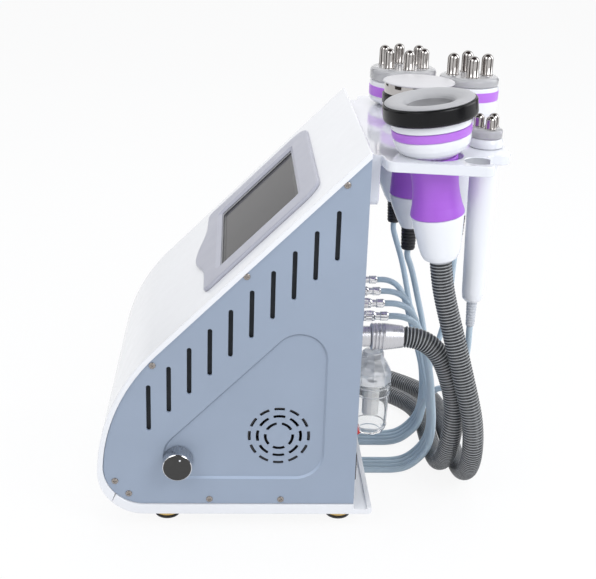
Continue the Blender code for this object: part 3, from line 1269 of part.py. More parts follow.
def holder_plate():
    """The acrylic holder: a plate with wings and lobes, its holes, and a leg down the back panel."""
    corner_neck, corner_wing, corner_end, corner_lobe, corner_out = PLATE_CORNERS
    right = [(PLATE_NECK_HALF_WIDTH, LEG_FACE), (PLATE_NECK_HALF_WIDTH, PLATE_NECK_END), PLATE_WING_START,
             PLATE_WING_END, (PLATE_LOBE_START, PLATE_WING_END[1]), (PLATE_LOBE_START, PLATE_LOBE_END)]
    radii = [0, corner_neck / 2, corner_wing, corner_end, corner_lobe, corner_out]
    half = fillet(right + [(0, PLATE_LOBE_END)], radii + [0], closed=False)[:-1]
    holder = plate("holder_plate", [mirrored(half)], PLATE_THICKNESS, PLATE_THICKNESS / 8)
    put(holder, "acrylic_white", (0, 0, PLATE_TOP - PLATE_THICKNESS / 2), TOP_VIEW)
    width = PLATE_NECK_HALF_WIDTH
    top = PLATE_TOP - PLATE_THICKNESS / 2
    leg_outline = fillet([(-width, LEG_BOTTOM), (width, LEG_BOTTOM), (width, top), (-width, top)],
                         [LEG_CORNER, LEG_CORNER, 0, 0])
    leg = plate("holder_leg", [leg_outline], LEG_THICKNESS)
    at(leg, (0, LEG_FACE + LEG_THICKNESS / 2, 0), (math.pi / 2, 0, 0))
    combine(holder, leg, "UNION")
    for index, ((x, y), radius) in enumerate(handpiece_holes()):
        hole = rod(f"holder_hole_{index}", radius, PLATE_THICKNESS + 2 * OVERRUN, ROUND_STEPS)
        combine(holder, at(hole, (x, y, PLATE_TOP - PLATE_THICKNESS - OVERRUN)), "DIFFERENCE")
    return holder


# Handpieces: each hangs on an empty at the plate's top, with local Z along its axis

def handpiece_part(name, profile, finish, parent, steps=ROUND_STEPS, ring=False):
    return put(turned(name, profile, steps, ring), finish, parent=parent)


def collar(inner, outer, bottom, top, rounding):
    """Profile of a plain ring with eased outer edges."""
    return [(inner, top), (outer - rounding, top), (outer, top - rounding), (outer, bottom + rounding),
            (outer - rounding, bottom), (inner, bottom)]


def suction_handpiece():
    turn, _ = suction_tilt()
    parent = empty("suction_axis", (*SUCTION_AT, PLATE_TOP + suction_lift()), turn.to_euler(), MACHINE)
    core = SUCTION_NECK_RADIUS
    band_core = SUCTION_BAND_RADIUS - 3 * TRIM_ROUND
    body = [(0, SUCTION_COLLAR_TOP), (SUCTION_BAND_RADIUS, SUCTION_COLLAR_TOP),
            (SUCTION_BAND_RADIUS, SUCTION_BAND_TOP + GAP), (band_core, SUCTION_BAND_TOP + GAP),
            (band_core, SUCTION_BOWL_HEIGHT - GAP), (SUCTION_BOWL_RADIUS, SUCTION_BOWL_HEIGHT - GAP),
            (SUCTION_SEAT_RADIUS, 0), (core, -SUCTION_GRIP_TOP + GAP), (core, -SUCTION_GRIP_BOTTOM - GAP),
            (SUCTION_FLARE_RADIUS - TRIM_ROUND / 2, -SUCTION_GRIP_BOTTOM - GAP),
            (SUCTION_TAIL_RADIUS, -SUCTION_TAIL_DEPTH), (SUCTION_END_RADIUS, -SUCTION_END_DEPTH),
            (0, -SUCTION_END_DEPTH)]
    handpiece_part("suction_body", body, "handpiece_white", parent)
    inner = core + GAP
    grip = [(inner, -SUCTION_GRIP_TOP), (SUCTION_GRIP_RADIUS, -SUCTION_GRIP_TOP),
            (SUCTION_WAIST_RADIUS, -SUCTION_WAIST_DEPTH),
            (SUCTION_WAIST_RADIUS + (SUCTION_FLARE_RADIUS - SUCTION_WAIST_RADIUS) * 0.4,
             -(SUCTION_WAIST_DEPTH + SUCTION_GRIP_BOTTOM) / 2),
            (SUCTION_FLARE_RADIUS, -SUCTION_GRIP_BOTTOM), (inner, -SUCTION_GRIP_BOTTOM)]
    handpiece_part("suction_grip", grip, "grip_purple", parent, ring=True)
    handpiece_part("suction_band", collar(band_core + GAP, SUCTION_BAND_RADIUS, SUCTION_BOWL_HEIGHT,
                                          SUCTION_BAND_TOP, TRIM_ROUND / 2), "grip_purple", parent, ring=True)
    ring_inner = SUCTION_CUP_RADIUS - HEAD_ROUND
    mouth_core = SUCTION_MOUTH_RADIUS + 2 * HEAD_ROUND
    ring = [(mouth_core, SUCTION_COLLAR_TOP + 2 * HEAD_ROUND), (ring_inner, SUCTION_RING_TOP - 2 * HEAD_ROUND),
            (ring_inner + GAP, SUCTION_RING_TOP), (SUCTION_RING_RADIUS - TRIM_ROUND, SUCTION_RING_TOP),
            (SUCTION_RING_RADIUS, SUCTION_RING_TOP - TRIM_ROUND),
            (SUCTION_RING_RADIUS, SUCTION_COLLAR_TOP + HEAD_ROUND),
            (SUCTION_RING_RADIUS - HEAD_ROUND, SUCTION_COLLAR_TOP + GAP), (mouth_core, SUCTION_COLLAR_TOP + GAP)]
    handpiece_part("suction_ring", ring, "ring_black", parent, ring=True)
    seat = SUCTION_COLLAR_TOP + GAP
    floor = seat + SUCTION_FLOOR_WALL
    cup = [(0, floor), (SUCTION_MOUTH_RADIUS / 2, floor),
           (SUCTION_MOUTH_RADIUS - HEAD_ROUND, SUCTION_CUP_TOP - SUCTION_MOUTH_SINK - 2 * HEAD_ROUND),
           (SUCTION_MOUTH_RADIUS, SUCTION_CUP_TOP - SUCTION_MOUTH_SINK),
           (SUCTION_CUP_RADIUS - 2 * HEAD_ROUND, SUCTION_CUP_TOP - TRIM_ROUND / 2),
           (SUCTION_CUP_RADIUS - HEAD_ROUND, SUCTION_CUP_TOP),
           (SUCTION_CUP_RADIUS - TRIM_ROUND / 2, SUCTION_CUP_TOP - TRIM_ROUND),
           (SUCTION_CUP_RADIUS - TRIM_ROUND / 2, SUCTION_RING_TOP + GAP),
           (ring_inner - GAP, SUCTION_RING_TOP + GAP), (ring_inner - 2 * GAP, SUCTION_RING_TOP - 2 * HEAD_ROUND),
           (mouth_core - GAP, seat + 2 * HEAD_ROUND), (mouth_core - GAP, seat), (0, seat)]
    handpiece_part("suction_cup", cup, "cup_silver", parent)
    return parent


def handle_profile(top_part):
    """Complete a body profile with the shared handle below the plate, from the seat down."""
    core = HANDLE_CORE_RADIUS
    return top_part + [
        (HANDLE_FLARE_RADIUS, GAP), (HANDLE_TOP_RADIUS, -HANDLE_GRIP_TOP + GAP), (core, -HANDLE_GRIP_TOP + GAP),
        (core, -HANDLE_GRIP_BOTTOM - GAP), (HANDLE_FLARE_RADIUS - TRIM_ROUND / 2, -HANDLE_GRIP_BOTTOM - GAP),
        (HANDLE_TAIL_RADIUS, -HANDLE_TAIL_DEPTH), (HANDLE_END_RADIUS, -HANDLE_END_DEPTH),
        (RELIEF_BOOT_RADIUS, -HANDLE_END_DEPTH), (RELIEF_BOOT_RADIUS - TRIM_ROUND, -RELIEF_BOOT_DEPTH),
        (0, -RELIEF_BOOT_DEPTH)]


def plain_handle_profile(top_part):
    """The same handle without a separate sleeve, for the handpieces that stand behind."""
    return top_part + [
        (HANDLE_FLARE_RADIUS, GAP), (HANDLE_TOP_RADIUS, -HANDLE_GRIP_TOP),
        (HANDLE_FLARE_RADIUS, -HANDLE_GRIP_BOTTOM), (HANDLE_TAIL_RADIUS, -HANDLE_TAIL_DEPTH),
        (HANDLE_END_RADIUS, -HANDLE_END_DEPTH), (RELIEF_BOOT_RADIUS, -HANDLE_END_DEPTH),
        (RELIEF_BOOT_RADIUS - TRIM_ROUND, -RELIEF_BOOT_DEPTH), (0, -RELIEF_BOOT_DEPTH)]


def cavitation_handpiece():
    parent = empty("cavitation_axis", (*CAVITATION_AT, PLATE_TOP), parent=MACHINE)
    band_core = CAVITATION_BAND_RADIUS - 3 * TRIM_ROUND
    top_part = [(0, CAVITATION_COLLAR_TOP), (CAVITATION_BAND_RADIUS, CAVITATION_COLLAR_TOP),
                (CAVITATION_BAND_RADIUS, CAVITATION_BAND_TOP + GAP), (band_core, CAVITATION_BAND_TOP + GAP),
                (band_core, CAVITATION_BOWL_HEIGHT), (CAVITATION_BOWL_RADIUS, CAVITATION_BOWL_HEIGHT)]
    handpiece_part("cavitation_body", handle_profile(top_part), "handpiece_white", parent)
    inner = HANDLE_CORE_RADIUS + GAP
    grip = [(inner, -HANDLE_GRIP_TOP), (HANDLE_TOP_RADIUS, -HANDLE_GRIP_TOP),
            ((HANDLE_TOP_RADIUS + HANDLE_FLARE_RADIUS) / 2 - TRIM_ROUND, -HANDLE_GRIP_BOTTOM * 0.6),
            (HANDLE_FLARE_RADIUS, -HANDLE_GRIP_BOTTOM), (inner, -HANDLE_GRIP_BOTTOM)]
    handpiece_part("cavitation_grip", grip, "grip_purple", parent, ring=True)
    handpiece_part("cavitation_band", collar(band_core + GAP, CAVITATION_BAND_RADIUS,
                                             CAVITATION_BOWL_HEIGHT + GAP, CAVITATION_BAND_TOP, TRIM_ROUND / 2),
                   "grip_purple", parent, ring=True)
    ring = [(0, CAVITATION_RING_TOP), (CAVITATION_RING_RADIUS - TRIM_ROUND, CAVITATION_RING_TOP),
            (CAVITATION_RING_RADIUS, CAVITATION_RING_TOP - TRIM_ROUND),
            (CAVITATION_RING_RADIUS, CAVITATION_COLLAR_TOP + TRIM_ROUND),
            (CAVITATION_RING_RADIUS - TRIM_ROUND, CAVITATION_COLLAR_TOP + GAP), (0, CAVITATION_COLLAR_TOP + GAP)]
    handpiece_part("cavitation_ring", ring, "ring_black", parent)
    under_disc = CAVITATION_HEAD_TOP - CAVITATION_DISC
    head = [(0, CAVITATION_HEAD_TOP), (CAVITATION_DISC_RADIUS, CAVITATION_HEAD_TOP),
            (CAVITATION_DISC_RADIUS, under_disc), (CAVITATION_HEAD_RADIUS, under_disc),
            (CAVITATION_HEAD_RADIUS, CAVITATION_RING_TOP + GAP), (0, CAVITATION_RING_TOP + GAP)]
    handpiece_part("cavitation_head", head, "chrome", parent)
    return parent


def electrodes(name, radius, top, base, circle, count, start, parent):
    """Domed electrodes round a circle, standing on one carrier plate that closes the cap."""
    carrier = rod(name, circle - ELECTRODE_EDGE + radius, ELECTRODE_PLATE, SMALL_STEPS)
    put(carrier, "chrome", (0, 0, base), parent=parent)
    for index in range(count):
        angle = start + index * 2 * math.pi / count
        height = top - base - ELECTRODE_PLATE / 2
        dome = [(0, height), (radius * math.sin(math.radians(35)), height - radius * (1 - math.cos(math.radians(35)))),
                (radius * math.sin(math.radians(68)), height - radius * (1 - math.cos(math.radians(68)))),
                (radius, height - radius), (radius, 0), (0, 0)]
        pole = turned(f"{name}_{index}", dome, 10)
        at(pole, (circle * math.sin(angle), circle * math.cos(angle), base + ELECTRODE_PLATE / 2), parent=parent)
        combine(carrier, pole, "UNION")
    return carrier


def cap_profile(radius, bottom, top):
    """A cap with a well rounded top edge."""
    return [(0, top), (radius - CAP_ROUND, top), (radius - CAP_ROUND / 4, top - CAP_ROUND / 3),
            (radius, top - CAP_ROUND), (radius, bottom), (0, bottom)]


def six_pole_handpiece():
    parent = empty("six_pole_axis", (*SIX_AT, PLATE_TOP), parent=MACHINE)
    top_part = [(0, SIX_BODY_TOP), (SIX_BODY_RADIUS - TRIM_ROUND, SIX_BODY_TOP),
                (SIX_BODY_RADIUS, SIX_BODY_TOP - TRIM_ROUND), (SIX_BODY_RADIUS, CAVITATION_BOWL_HEIGHT)]
    handpiece_part("six_pole_body", plain_handle_profile(top_part), "handpiece_white", parent)
    handpiece_part("six_pole_cap", cap_profile(SIX_CAP_RADIUS, SIX_BODY_TOP + GAP, SIX_CAP_TOP), "cap_grey",
                   parent)
    electrodes("six_pole_electrodes", SIX_ELECTRODE_RADIUS, SIX_ELECTRODE_TOP, SIX_CAP_TOP + GAP,
               SIX_ELECTRODE_CIRCLE, SIX_ELECTRODE_COUNT, SIX_ELECTRODE_START, parent)
    return parent


def four_pole_handpiece():
    parent = empty("four_pole_axis", (*FOUR_AT, PLATE_TOP), parent=MACHINE)
    top_part = [(0, FOUR_BODY_TOP), (FOUR_BODY_RADIUS - TRIM_ROUND, FOUR_BODY_TOP),
                (FOUR_BODY_RADIUS, FOUR_BODY_TOP - TRIM_ROUND),
                (FOUR_BODY_RADIUS, (FOUR_BODY_RADIUS - HANDLE_FLARE_RADIUS) / 2)]
    handpiece_part("four_pole_body", plain_handle_profile(top_part), "handpiece_white", parent)
    handpiece_part("four_pole_cap", cap_profile(FOUR_CAP_RADIUS, FOUR_BODY_TOP + GAP, FOUR_CAP_TOP), "cap_grey",
                   parent)
    electrodes("four_pole_electrodes", FOUR_ELECTRODE_RADIUS, FOUR_ELECTRODE_TOP, FOUR_CAP_TOP + GAP,
               FOUR_ELECTRODE_CIRCLE, FOUR_ELECTRODE_COUNT, FOUR_ELECTRODE_START, parent)
    return parent


def three_pole_handpiece():
    parent = empty("three_pole_axis", (*THREE_AT, PLATE_TOP), parent=MACHINE)
    rounding = THREE_END_ROUND
    body = [(0, THREE_SHOULDER_TOP), (THREE_CAP_RADIUS, THREE_SHOULDER_TOP),
            (THREE_SHOULDER_RADIUS, THREE_SHOULDER_TOP / 2), (THREE_SHOULDER_RADIUS, GAP),
            (THREE_NECK_RADIUS, GAP), (THREE_NECK_RADIUS, -PLATE_THICKNESS),
            (THREE_END_RADIUS, -THREE_END_DEPTH + rounding), (THREE_END_RADIUS - rounding / 3, -THREE_END_DEPTH
                                                              + rounding / 3),
            (THREE_BOOT_RADIUS, -THREE_END_DEPTH), (THREE_BOOT_RADIUS - TRIM_ROUND, -THREE_BOOT_DEPTH),
            (0, -THREE_BOOT_DEPTH)]
    handpiece_part("three_pole_body", body, "handpiece_white", parent)
    handpiece_part("three_pole_cap", collar(0, THREE_CAP_RADIUS, THREE_SHOULDER_TOP + GAP, THREE_CAP_TOP,
                                            HEAD_ROUND), "cap_grey", parent)
    electrodes("three_pole_electrodes", THREE_ELECTRODE_RADIUS, THREE_ELECTRODE_TOP, THREE_CAP_TOP + GAP,
               THREE_ELECTRODE_CIRCLE, THREE_ELECTRODE_COUNT, THREE_ELECTRODE_START, parent)
    return parent


# Feet

def foot(index, x, y):
    """A turned foot with a smaller pad that meets the table."""
    height = CASE_FLOOR - GAP
    profile = [(0, height), (FOOT_RADIUS, height), (FOOT_RADIUS, FOOT_PAD + TRIM_ROUND),
               (FOOT_RADIUS - TRIM_ROUND, FOOT_PAD), (FOOT_PAD_RADIUS, FOOT_PAD), (FOOT_PAD_RADIUS, 0), (0, 0)]
    return put(turned(f"foot_{index}", profile, SMALL_STEPS), "gold_foot", (x, y, 0))


# Free cords

def smooth_curve(points):
    """A natural cubic spline through POINTS by chord length; returns a function of the share of its length."""
    places = np.array(points)
    chords = np.concatenate(([0], np.cumsum(np.linalg.norm(np.diff(places, axis=0), axis=1))))
    steps = np.diff(chords)
    count = len(places)
    system = np.zeros((count, count))
    target = np.zeros((count, 3))
    system[0, 0] = system[-1, -1] = 1
    for index in range(1, count - 1):
        system[index, index - 1:index + 2] = (steps[index - 1], 2 * (steps[index - 1] + steps[index]), steps[index])
        target[index] = 6 * ((places[index + 1] - places[index]) / steps[index]
                             - (places[index] - places[index - 1]) / steps[index - 1])
    bends = np.linalg.solve(system, target)

    def point(share):
        distance = share * chords[-1]
        index = min(int(np.searchsorted(chords, distance, side="right")) - 1, count - 2)
        index = max(index, 0)
        span = steps[index]
        left = (chords[index + 1] - distance) / span
        right = 1 - left
        place = left * places[index] + right * places[index + 1] + span ** 2 / 6 * (
            (left ** 3 - left) * bends[index] + (right ** 3 - right) * bends[index + 1])
        return tuple(place)

    return point


def along(route, count, radius):
    """COUNT points spaced evenly along the smooth curve through ROUTE, kept above the table."""
    curve = smooth_curve(route)
    places = [curve(index / (count - 1)) for index in range(count)]
    return [(x, y, max(z, radius + CORD_LOWEST)) for x, y, z in places]


def along_bends(route, radius):
    """Points along ROUTE, far apart where it runs straight and close together where it bends."""
    fine = [Vector(place) for place in along(route, FINE_STEPS, radius)]
    effort = [0]
    for before, here, after in zip(fine, fine[1:], fine[2:]):
        bend = (here - before).angle(after - here)
        effort.append(effort[-1] + (here - before).length / STRAIGHT_STEP + bend / BEND_STEP)
    effort.append(effort[-1] + (fine[-1] - fine[-2]).length / STRAIGHT_STEP)
    count = math.ceil(effort[-1]) + 1
    targets = np.linspace(0, effort[-1], count)
    picked = [int(np.searchsorted(effort, target)) for target in targets]
    return [tuple(fine[min(index, FINE_STEPS - 1)]) for index in picked]


def follow_plate(drop, depth):
    """The falling part of a route, stretched to the height that the plate gives its top, DEPTH below it."""
    stretch = (PLATE_TOP - depth) / (ROUTE_PLATE_TOP - depth)
    return [(x, y, z * stretch) for x, y, z in drop]


def hose_route():
    """The hose from the leaning handpiece's tail round to its plug."""
    turn, _ = suction_tilt()
    top = Vector((*SUCTION_AT, PLATE_TOP + suction_lift()))
    start = [tuple(top - turn @ Vector((0, 0, SUCTION_END_DEPTH + reach))) for reach in (GAP, CORD_STRAIGHT)]
    x, z = HOSE_PORT
    drop = follow_plate(HOSE_DROP, SUCTION_END_DEPTH)
    return start + drop + list(HOSE_ROUTE) + [(x, HOSE_PLUG_END + GAP, z)]


def vacuum_hose():
    """The ribbed hose: two rings a rib of unlike radius, with its bore cut out."""
    count = 2 * HOSE_RIBS + 1
    route = hose_route()
    points = along(route, count, HOSE_RADIUS)
    points[1] = tuple(Vector(route[0]).lerp(Vector(route[1]), 0.5))
    points[-2] = tuple(Vector(route[-1]) + Vector((0, CORD_STRAIGHT / 2, 0)))
    radii = [HOSE_RADIUS if index % 2 == 0 else HOSE_VALLEY_RADIUS for index in range(count)]
    hose = put(tube("vacuum_hose", points, radii), "hose_grey")
    bore_points = points[::2]
    for end, inner in ((0, 1), (-1, -2)):
        outward = Vector(bore_points[end]) - Vector(bore_points[inner])
        bore_points[end] = tuple(Vector(bore_points[end]) + outward.normalized() * OVERRUN)
    bore = tube("hose_bore", bore_points, [HOSE_BORE_RADIUS] * len(bore_points))
    return combine(hose, at(bore, (0, 0, 0)), "DIFFERENCE")


def cable_route(top, drop, rise, socket_x, rank):
    """A cable from its handpiece down to the table, round a fold under the casing and up to its plug."""
    x, y, z = top
    start = [(x, y, z - 2 * GAP), (x, y, z - CORD_STRAIGHT)]
    end = [(socket_x, PLUG_END + CORD_STRAIGHT, SOCKET_HEIGHT), (socket_x, PLUG_END + GAP, SOCKET_HEIGHT)]
    offset = LEG_INNER_OFFSET + rank * LEG_PITCH
    out_x = LEG_CENTRE_X - offset
    back_x = LEG_CENTRE_X + offset
    landing = [(out_x, y, z) for y, z in LANDING]
    leg = [(out_x, y, LEG_HEIGHT) for y in LEG_YS]
    fold = [(LEG_CENTRE_X - offset * math.cos(math.pi * step / FOLD_STEPS),
             FOLD_CENTRE_Y - offset * math.sin(math.pi * step / FOLD_STEPS), LEG_HEIGHT)
            for step in range(FOLD_STEPS + 1)]
    back_leg = [(back_x, y, LEG_HEIGHT) for y in reversed(LEG_YS)]
    take_off = [(back_x, y, z) for y, z in reversed(LANDING)]
    return start + drop + landing + leg + fold + back_leg + take_off + list(rise) + end


def cable(name, place, boot_depth, drop, rise, socket_x, rank):
    top = (*place, PLATE_TOP - boot_depth)
    route = cable_route(top, follow_plate(drop, boot_depth), rise, socket_x, rank)
    points = along_bends(route, CABLE_RADIUS)
    return put(tube(name, points, [CABLE_RADIUS] * len(points)), "cable_blue")


def build():
    front_cover()
    base_tray()
    side_panel("side_panel_right", 1)
    side_panel("side_panel_left", -1)
    back_panel()
    screen_bezel()
    touch_glass()
    display_module()
    knob()
    regulator_body()
    fan_frame()
    fan_rotor()
    vacuum_pump()
    power_supply()
    control_board()
    for index, x in enumerate(SOCKET_XS, start=1):
        cable_socket(index, x)
        cable_plug(index, x)
    hose_socket()
    hose_plug()
    filter_head()
    filter_bowl()
    filter_element()
    switch_housing()
    rocker_switch()
    power_inlet()
    holder_plate()
    suction_handpiece()
    cavitation_handpiece()
    six_pole_handpiece()
    four_pole_handpiece()
    three_pole_handpiece()
    for index, (side, y) in enumerate(((side, y) for side in (-1, 1) for y in FOOT_YS), start=1):
        foot(index, side * FOOT_X, y)
    vacuum_hose()
    three_socket, cavitation_socket, four_socket, six_socket = SOCKET_XS
    cable("cable_six_pole", SIX_AT, RELIEF_BOOT_DEPTH, SIX_DROP, SIX_RISE, six_socket, 3)
    cable("cable_four_pole", FOUR_AT, RELIEF_BOOT_DEPTH, FOUR_DROP, FOUR_RISE, four_socket, 2)
    cable("cable_cavitation", CAVITATION_AT, RELIEF_BOOT_DEPTH, CAVITATION_DROP, CAVITATION_RISE,
          cavitation_socket, 1)
    cable("cable_three_pole", THREE_AT, THREE_BOOT_DEPTH, THREE_DROP, THREE_RISE, three_socket, 0)


build()
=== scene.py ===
"""Looks of the desktop body-care machine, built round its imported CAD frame.

Lengths are metres, apart from the millimetres inside mm(). Places are in the console's own frame, as in the
CAD source, and SHIFT moves a mesh into the model's frame. +X is the knob side, -Y the side with the screen.
"""
from functools import partial
from math import acos, atan2, ceil, cos, hypot, pi, radians, sin, sqrt, tan

import bmesh
import bpy
import numpy as np
from mathutils import Matrix, Vector


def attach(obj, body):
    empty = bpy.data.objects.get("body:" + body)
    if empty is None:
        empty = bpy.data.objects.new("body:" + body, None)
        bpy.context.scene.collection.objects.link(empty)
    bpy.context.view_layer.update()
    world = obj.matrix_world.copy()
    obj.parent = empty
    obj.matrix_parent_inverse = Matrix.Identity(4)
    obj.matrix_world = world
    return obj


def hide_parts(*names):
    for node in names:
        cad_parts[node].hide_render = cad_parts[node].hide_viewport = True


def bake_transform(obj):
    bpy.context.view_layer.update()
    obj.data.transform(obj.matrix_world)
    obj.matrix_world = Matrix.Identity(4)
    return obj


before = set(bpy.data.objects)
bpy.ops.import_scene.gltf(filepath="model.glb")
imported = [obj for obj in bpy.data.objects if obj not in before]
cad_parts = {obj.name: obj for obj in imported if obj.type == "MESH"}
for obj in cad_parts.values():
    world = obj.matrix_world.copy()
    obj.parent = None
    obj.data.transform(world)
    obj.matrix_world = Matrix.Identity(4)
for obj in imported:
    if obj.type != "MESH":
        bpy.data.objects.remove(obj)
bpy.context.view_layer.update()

SHIFT = Matrix.Translation((0, -0.0565, 0))
CONSOLE = "console"
GAP = 0.0003

# Sizes of the casing
HALF_WIDTH = 0.1446
CASE_FRONT = -0.1415
CASE_BACK = 0.105
CASE_TOP = 0.378
CASE_EDGE = 0.0009
SLOPE = 0.2751
FLOOR = 0.0171
ARC_RADIUS = 0.1815
CORNER_RADIUS = 0.044
COVER = 0.0054
SEAM = radians(225)
PANEL_FLOOR = 0.0278
PANEL_FACE = 0.1426
PANEL_THICKNESS = 0.003
TRAY_RIM = 0.0246

# Sizes on the side panels: slots, fan grille and pressed relief
SLOT_COUNT = 10
SLOT_FIRST = (-0.0922, 0.1293)
SLOT_STEP = (0.01893, 0.01904)
SLOT_LENGTH = 0.047
SLOT_WIDTH = 0.0043
FAN_CENTRE = (0.0305, 0.1002)
GRILLE_RINGS = ((0.0283, 12, 90), (0.0206, 8, 90), (0.013, 5, 270))
GRILLE_HALF_SLOT = 0.0014
GRILLE_HALF_BRIDGE = 0.0024
RELIEF_SLOPE = 0.1685
RELIEF_RIGHT = 0.0736
RELIEF_BOTTOM = 0.0553
RELIEF_RADII = (0.0243, 0.027, 0.026)
RELIEF_WALL = 0.0014
RELIEF_DEPTH = 0.002

# Places of the controls, the fittings on the back panel and the handpieces
KNOB_PLACE = (0.1588, -0.065, 0.075)
SOCKET_XS = (-0.05, -0.015, 0.02, 0.055)
SOCKET_HEIGHT = 0.1896
PLUG_END = 0.14
HOSE_PORT = (0.095, 0.1845)
FILTER_PLACE = (0.05, 0.1278)
FILTER_FLOOR = 0.0607
SWITCH_PLACE = (0.1, CASE_BACK, 0.093)
ROCKER_TILT = radians(12)
TOP = 0.37
HOLDER_THICKNESS = 0.0095
SUCTION_AT = (0.112, 0.163)
SUCTION_LIFT = 0.0013448
CAVITATION_AT = (-0.01, 0.165)
SIX_AT = (-0.104, 0.162)
FOUR_AT = (-0.057, 0.2235)
THREE_AT = (0.08, 0.217)
SPARE_AT = (0.134, 0.201)
SPARE_RADIUS = 0.013

HOSE_REST = 0.0106
CABLE_RADIUS = 0.00315


# Shapes

def mm(*points):
    """Points written in millimetres, in metres."""
    return [tuple(value / 1000 for value in point) for point in points]


def rotation(degrees, axis):
    return Matrix.Rotation(radians(degrees), 4, axis)


SIDE = rotation(90, "Z") @ rotation(90, "X")
TO_BACK = rotation(-90, "X")
TO_RIGHT = rotation(90, "Y")


def put(x, y, z, turn=Matrix()):
    return Matrix.Translation((x, y, z)) @ turn


def slope_frame(out=0.0):
    """Local X across the machine, local Y up the slope and local Z out of it."""
    move = out * sqrt(0.5)
    return put(0, CASE_BACK - move, CASE_BACK + SLOPE + move, rotation(45, "X"))


def arc(centre, radius, start, end, step=radians(2.5)):
    count = max(2, ceil(abs(end - start) / step))
    angles = [start + (end - start) * i / count for i in range(count + 1)]
    return [(centre[0] + radius * cos(angle), centre[1] + radius * sin(angle)) for angle in angles]


def circle(radius, step):
    return arc((0, 0), radius, 0, 2 * pi, step)[:-1]


def rectangle(left, bottom, right, top):
    return [(left, bottom), (right, bottom), (right, top), (left, top)]


def fillet(points, radii, closed=True, step=radians(6)):
    """Round the corners of a polyline with one radius for each point."""
    count = len(points)
    out = []
    for i, (point, radius) in enumerate(zip(points, radii)):
        corner = Vector(point)
        a, b = Vector(points[i - 1]) - corner, Vector(points[(i + 1) % count]) - corner
        room = 0.49 * min(a.length, b.length)
        a, b = a.normalized(), b.normalized()
        half = acos(max(-1, min(1, a.dot(b)))) / 2
        is_end = not closed and i in (0, count - 1)
        if radius <= 0 or is_end or half > radians(88.5) or half < 0.01:
            out.append(tuple(corner))
            continue
        radius = min(radius, room * tan(half))
        centre = corner + (a + b).normalized() * (radius / sin(half))
        first = corner + a * (radius / tan(half)) - centre
        sweep_angle = pi - 2 * half
        turn = -sweep_angle if a.cross(b) > 0 else sweep_angle
        steps = max(2, ceil(sweep_angle / step))
        out += [tuple(centre + Matrix.Rotation(turn * k / steps, 2) @ first) for k in range(steps + 1)]
    return out


def soften(profile, radius):
    return fillet(profile, [radius] * len(profile), closed=False, step=radians(18))


def add_object(name, data):
    obj = bpy.data.objects.new(name, data)
    bpy.context.scene.collection.objects.link(obj)
    return obj


def add_piece(name, mesh, mat, place=Matrix(), replaces="", body=CONSOLE, angle=30, weighted=False):
    """Place a mesh, shade it, give it its material and make it ride on its body."""
    mesh.name = name
    mesh.transform(SHIFT @ place)
    obj = add_object(name, mesh)
    mesh.shade_smooth()
    mesh.set_sharp_from_angle(angle=radians(angle))
    mesh.materials.clear()
    mesh.materials.append(mat)
    if weighted:
        obj.modifiers.new("normals", "WEIGHTED_NORMAL").keep_sharp = True
    if body:
        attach(obj, body)
    if replaces:
        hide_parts(replaces)
    return obj


def to_mesh(form):
    bmesh.ops.recalc_face_normals(form, faces=form.faces)
    mesh = bpy.data.meshes.new("mesh")
    form.to_mesh(mesh)
    form.free()
    return mesh


def around(steps):
    """Cosine and sine of evenly spaced angles."""
    return [(cos(2 * pi * k / steps), sin(2 * pi * k / steps)) for k in range(steps)]


def skin(form, rings):
    """Join neighbouring rings with faces. A ring of one vertex is a tip."""
    for low, high in zip(rings, rings[1:]):
        count = len(low) if len(low) > 1 else len(high)
        for k in range(count if count > 1 else 0):
            n = (k + 1) % count
            if len(low) == 1:
                form.faces.new((low[0], high[k], high[n]))
            elif len(high) == 1:
                form.faces.new((low[k], high[0], low[n]))
            else:
                form.faces.new((low[k], high[k], high[n], low[n]))


def spin(profile, steps=72, form=None, place=Matrix()):
    """Faces of a solid of revolution about Z; ends off the axis are closed into a ring."""
    form = form or bmesh.new()
    rings = []
    for radius, height in profile:
        points = around(steps) if radius > 1e-6 else [(0, 0)]
        rings.append([form.verts.new(place @ Vector((radius * x, radius * y, height))) for x, y in points])
    is_ring = len(rings[0]) > 1 and len(rings[-1]) > 1
    skin(form, rings + rings[:1] if is_ring else rings)
    return form


def lathe(name, profile, mat, replaces="", steps=72, soft=0.0006, place=Matrix(), body=CONSOLE):
    """A turned piece whose profile's corners are rounded by SOFT."""
    profile = soften(profile, soft) if soft else profile
    add_piece(name, to_mesh(spin(profile, steps)), mat, place, replaces, body, 40)


def evaluated_mesh(obj):
    return bpy.data.meshes.new_from_object(obj.evaluated_get(bpy.context.evaluated_depsgraph_get()))


def flat_plate(loops, thickness, edge=0.0, resolution=1):
    """Mesh of a plate in its local XY plane: the first loop is its outline, the rest are holes."""
    curve = bpy.data.curves.new("plate", "CURVE")
    curve.dimensions = "2D"
    curve.fill_mode = "BOTH"
    curve.extrude = thickness / 2 - edge
    curve.bevel_depth = edge
    curve.bevel_resolution = resolution
    curve.offset = -edge
    for loop in loops:
        spline = curve.splines.new("POLY")
        spline.points.add(len(loop) - 1)
        for point, (x, y) in zip(spline.points, loop):
            point.co = (x, y, 0, 1)
        spline.use_cyclic_u = True
    holder = add_object("plate", curve)
    mesh = evaluated_mesh(holder)
    bpy.data.objects.remove(holder, do_unlink=True)
    form = bmesh.new()
    form.from_mesh(mesh)
    bmesh.ops.remove_doubles(form, verts=form.verts, dist=2e-6)
    return to_mesh(form)


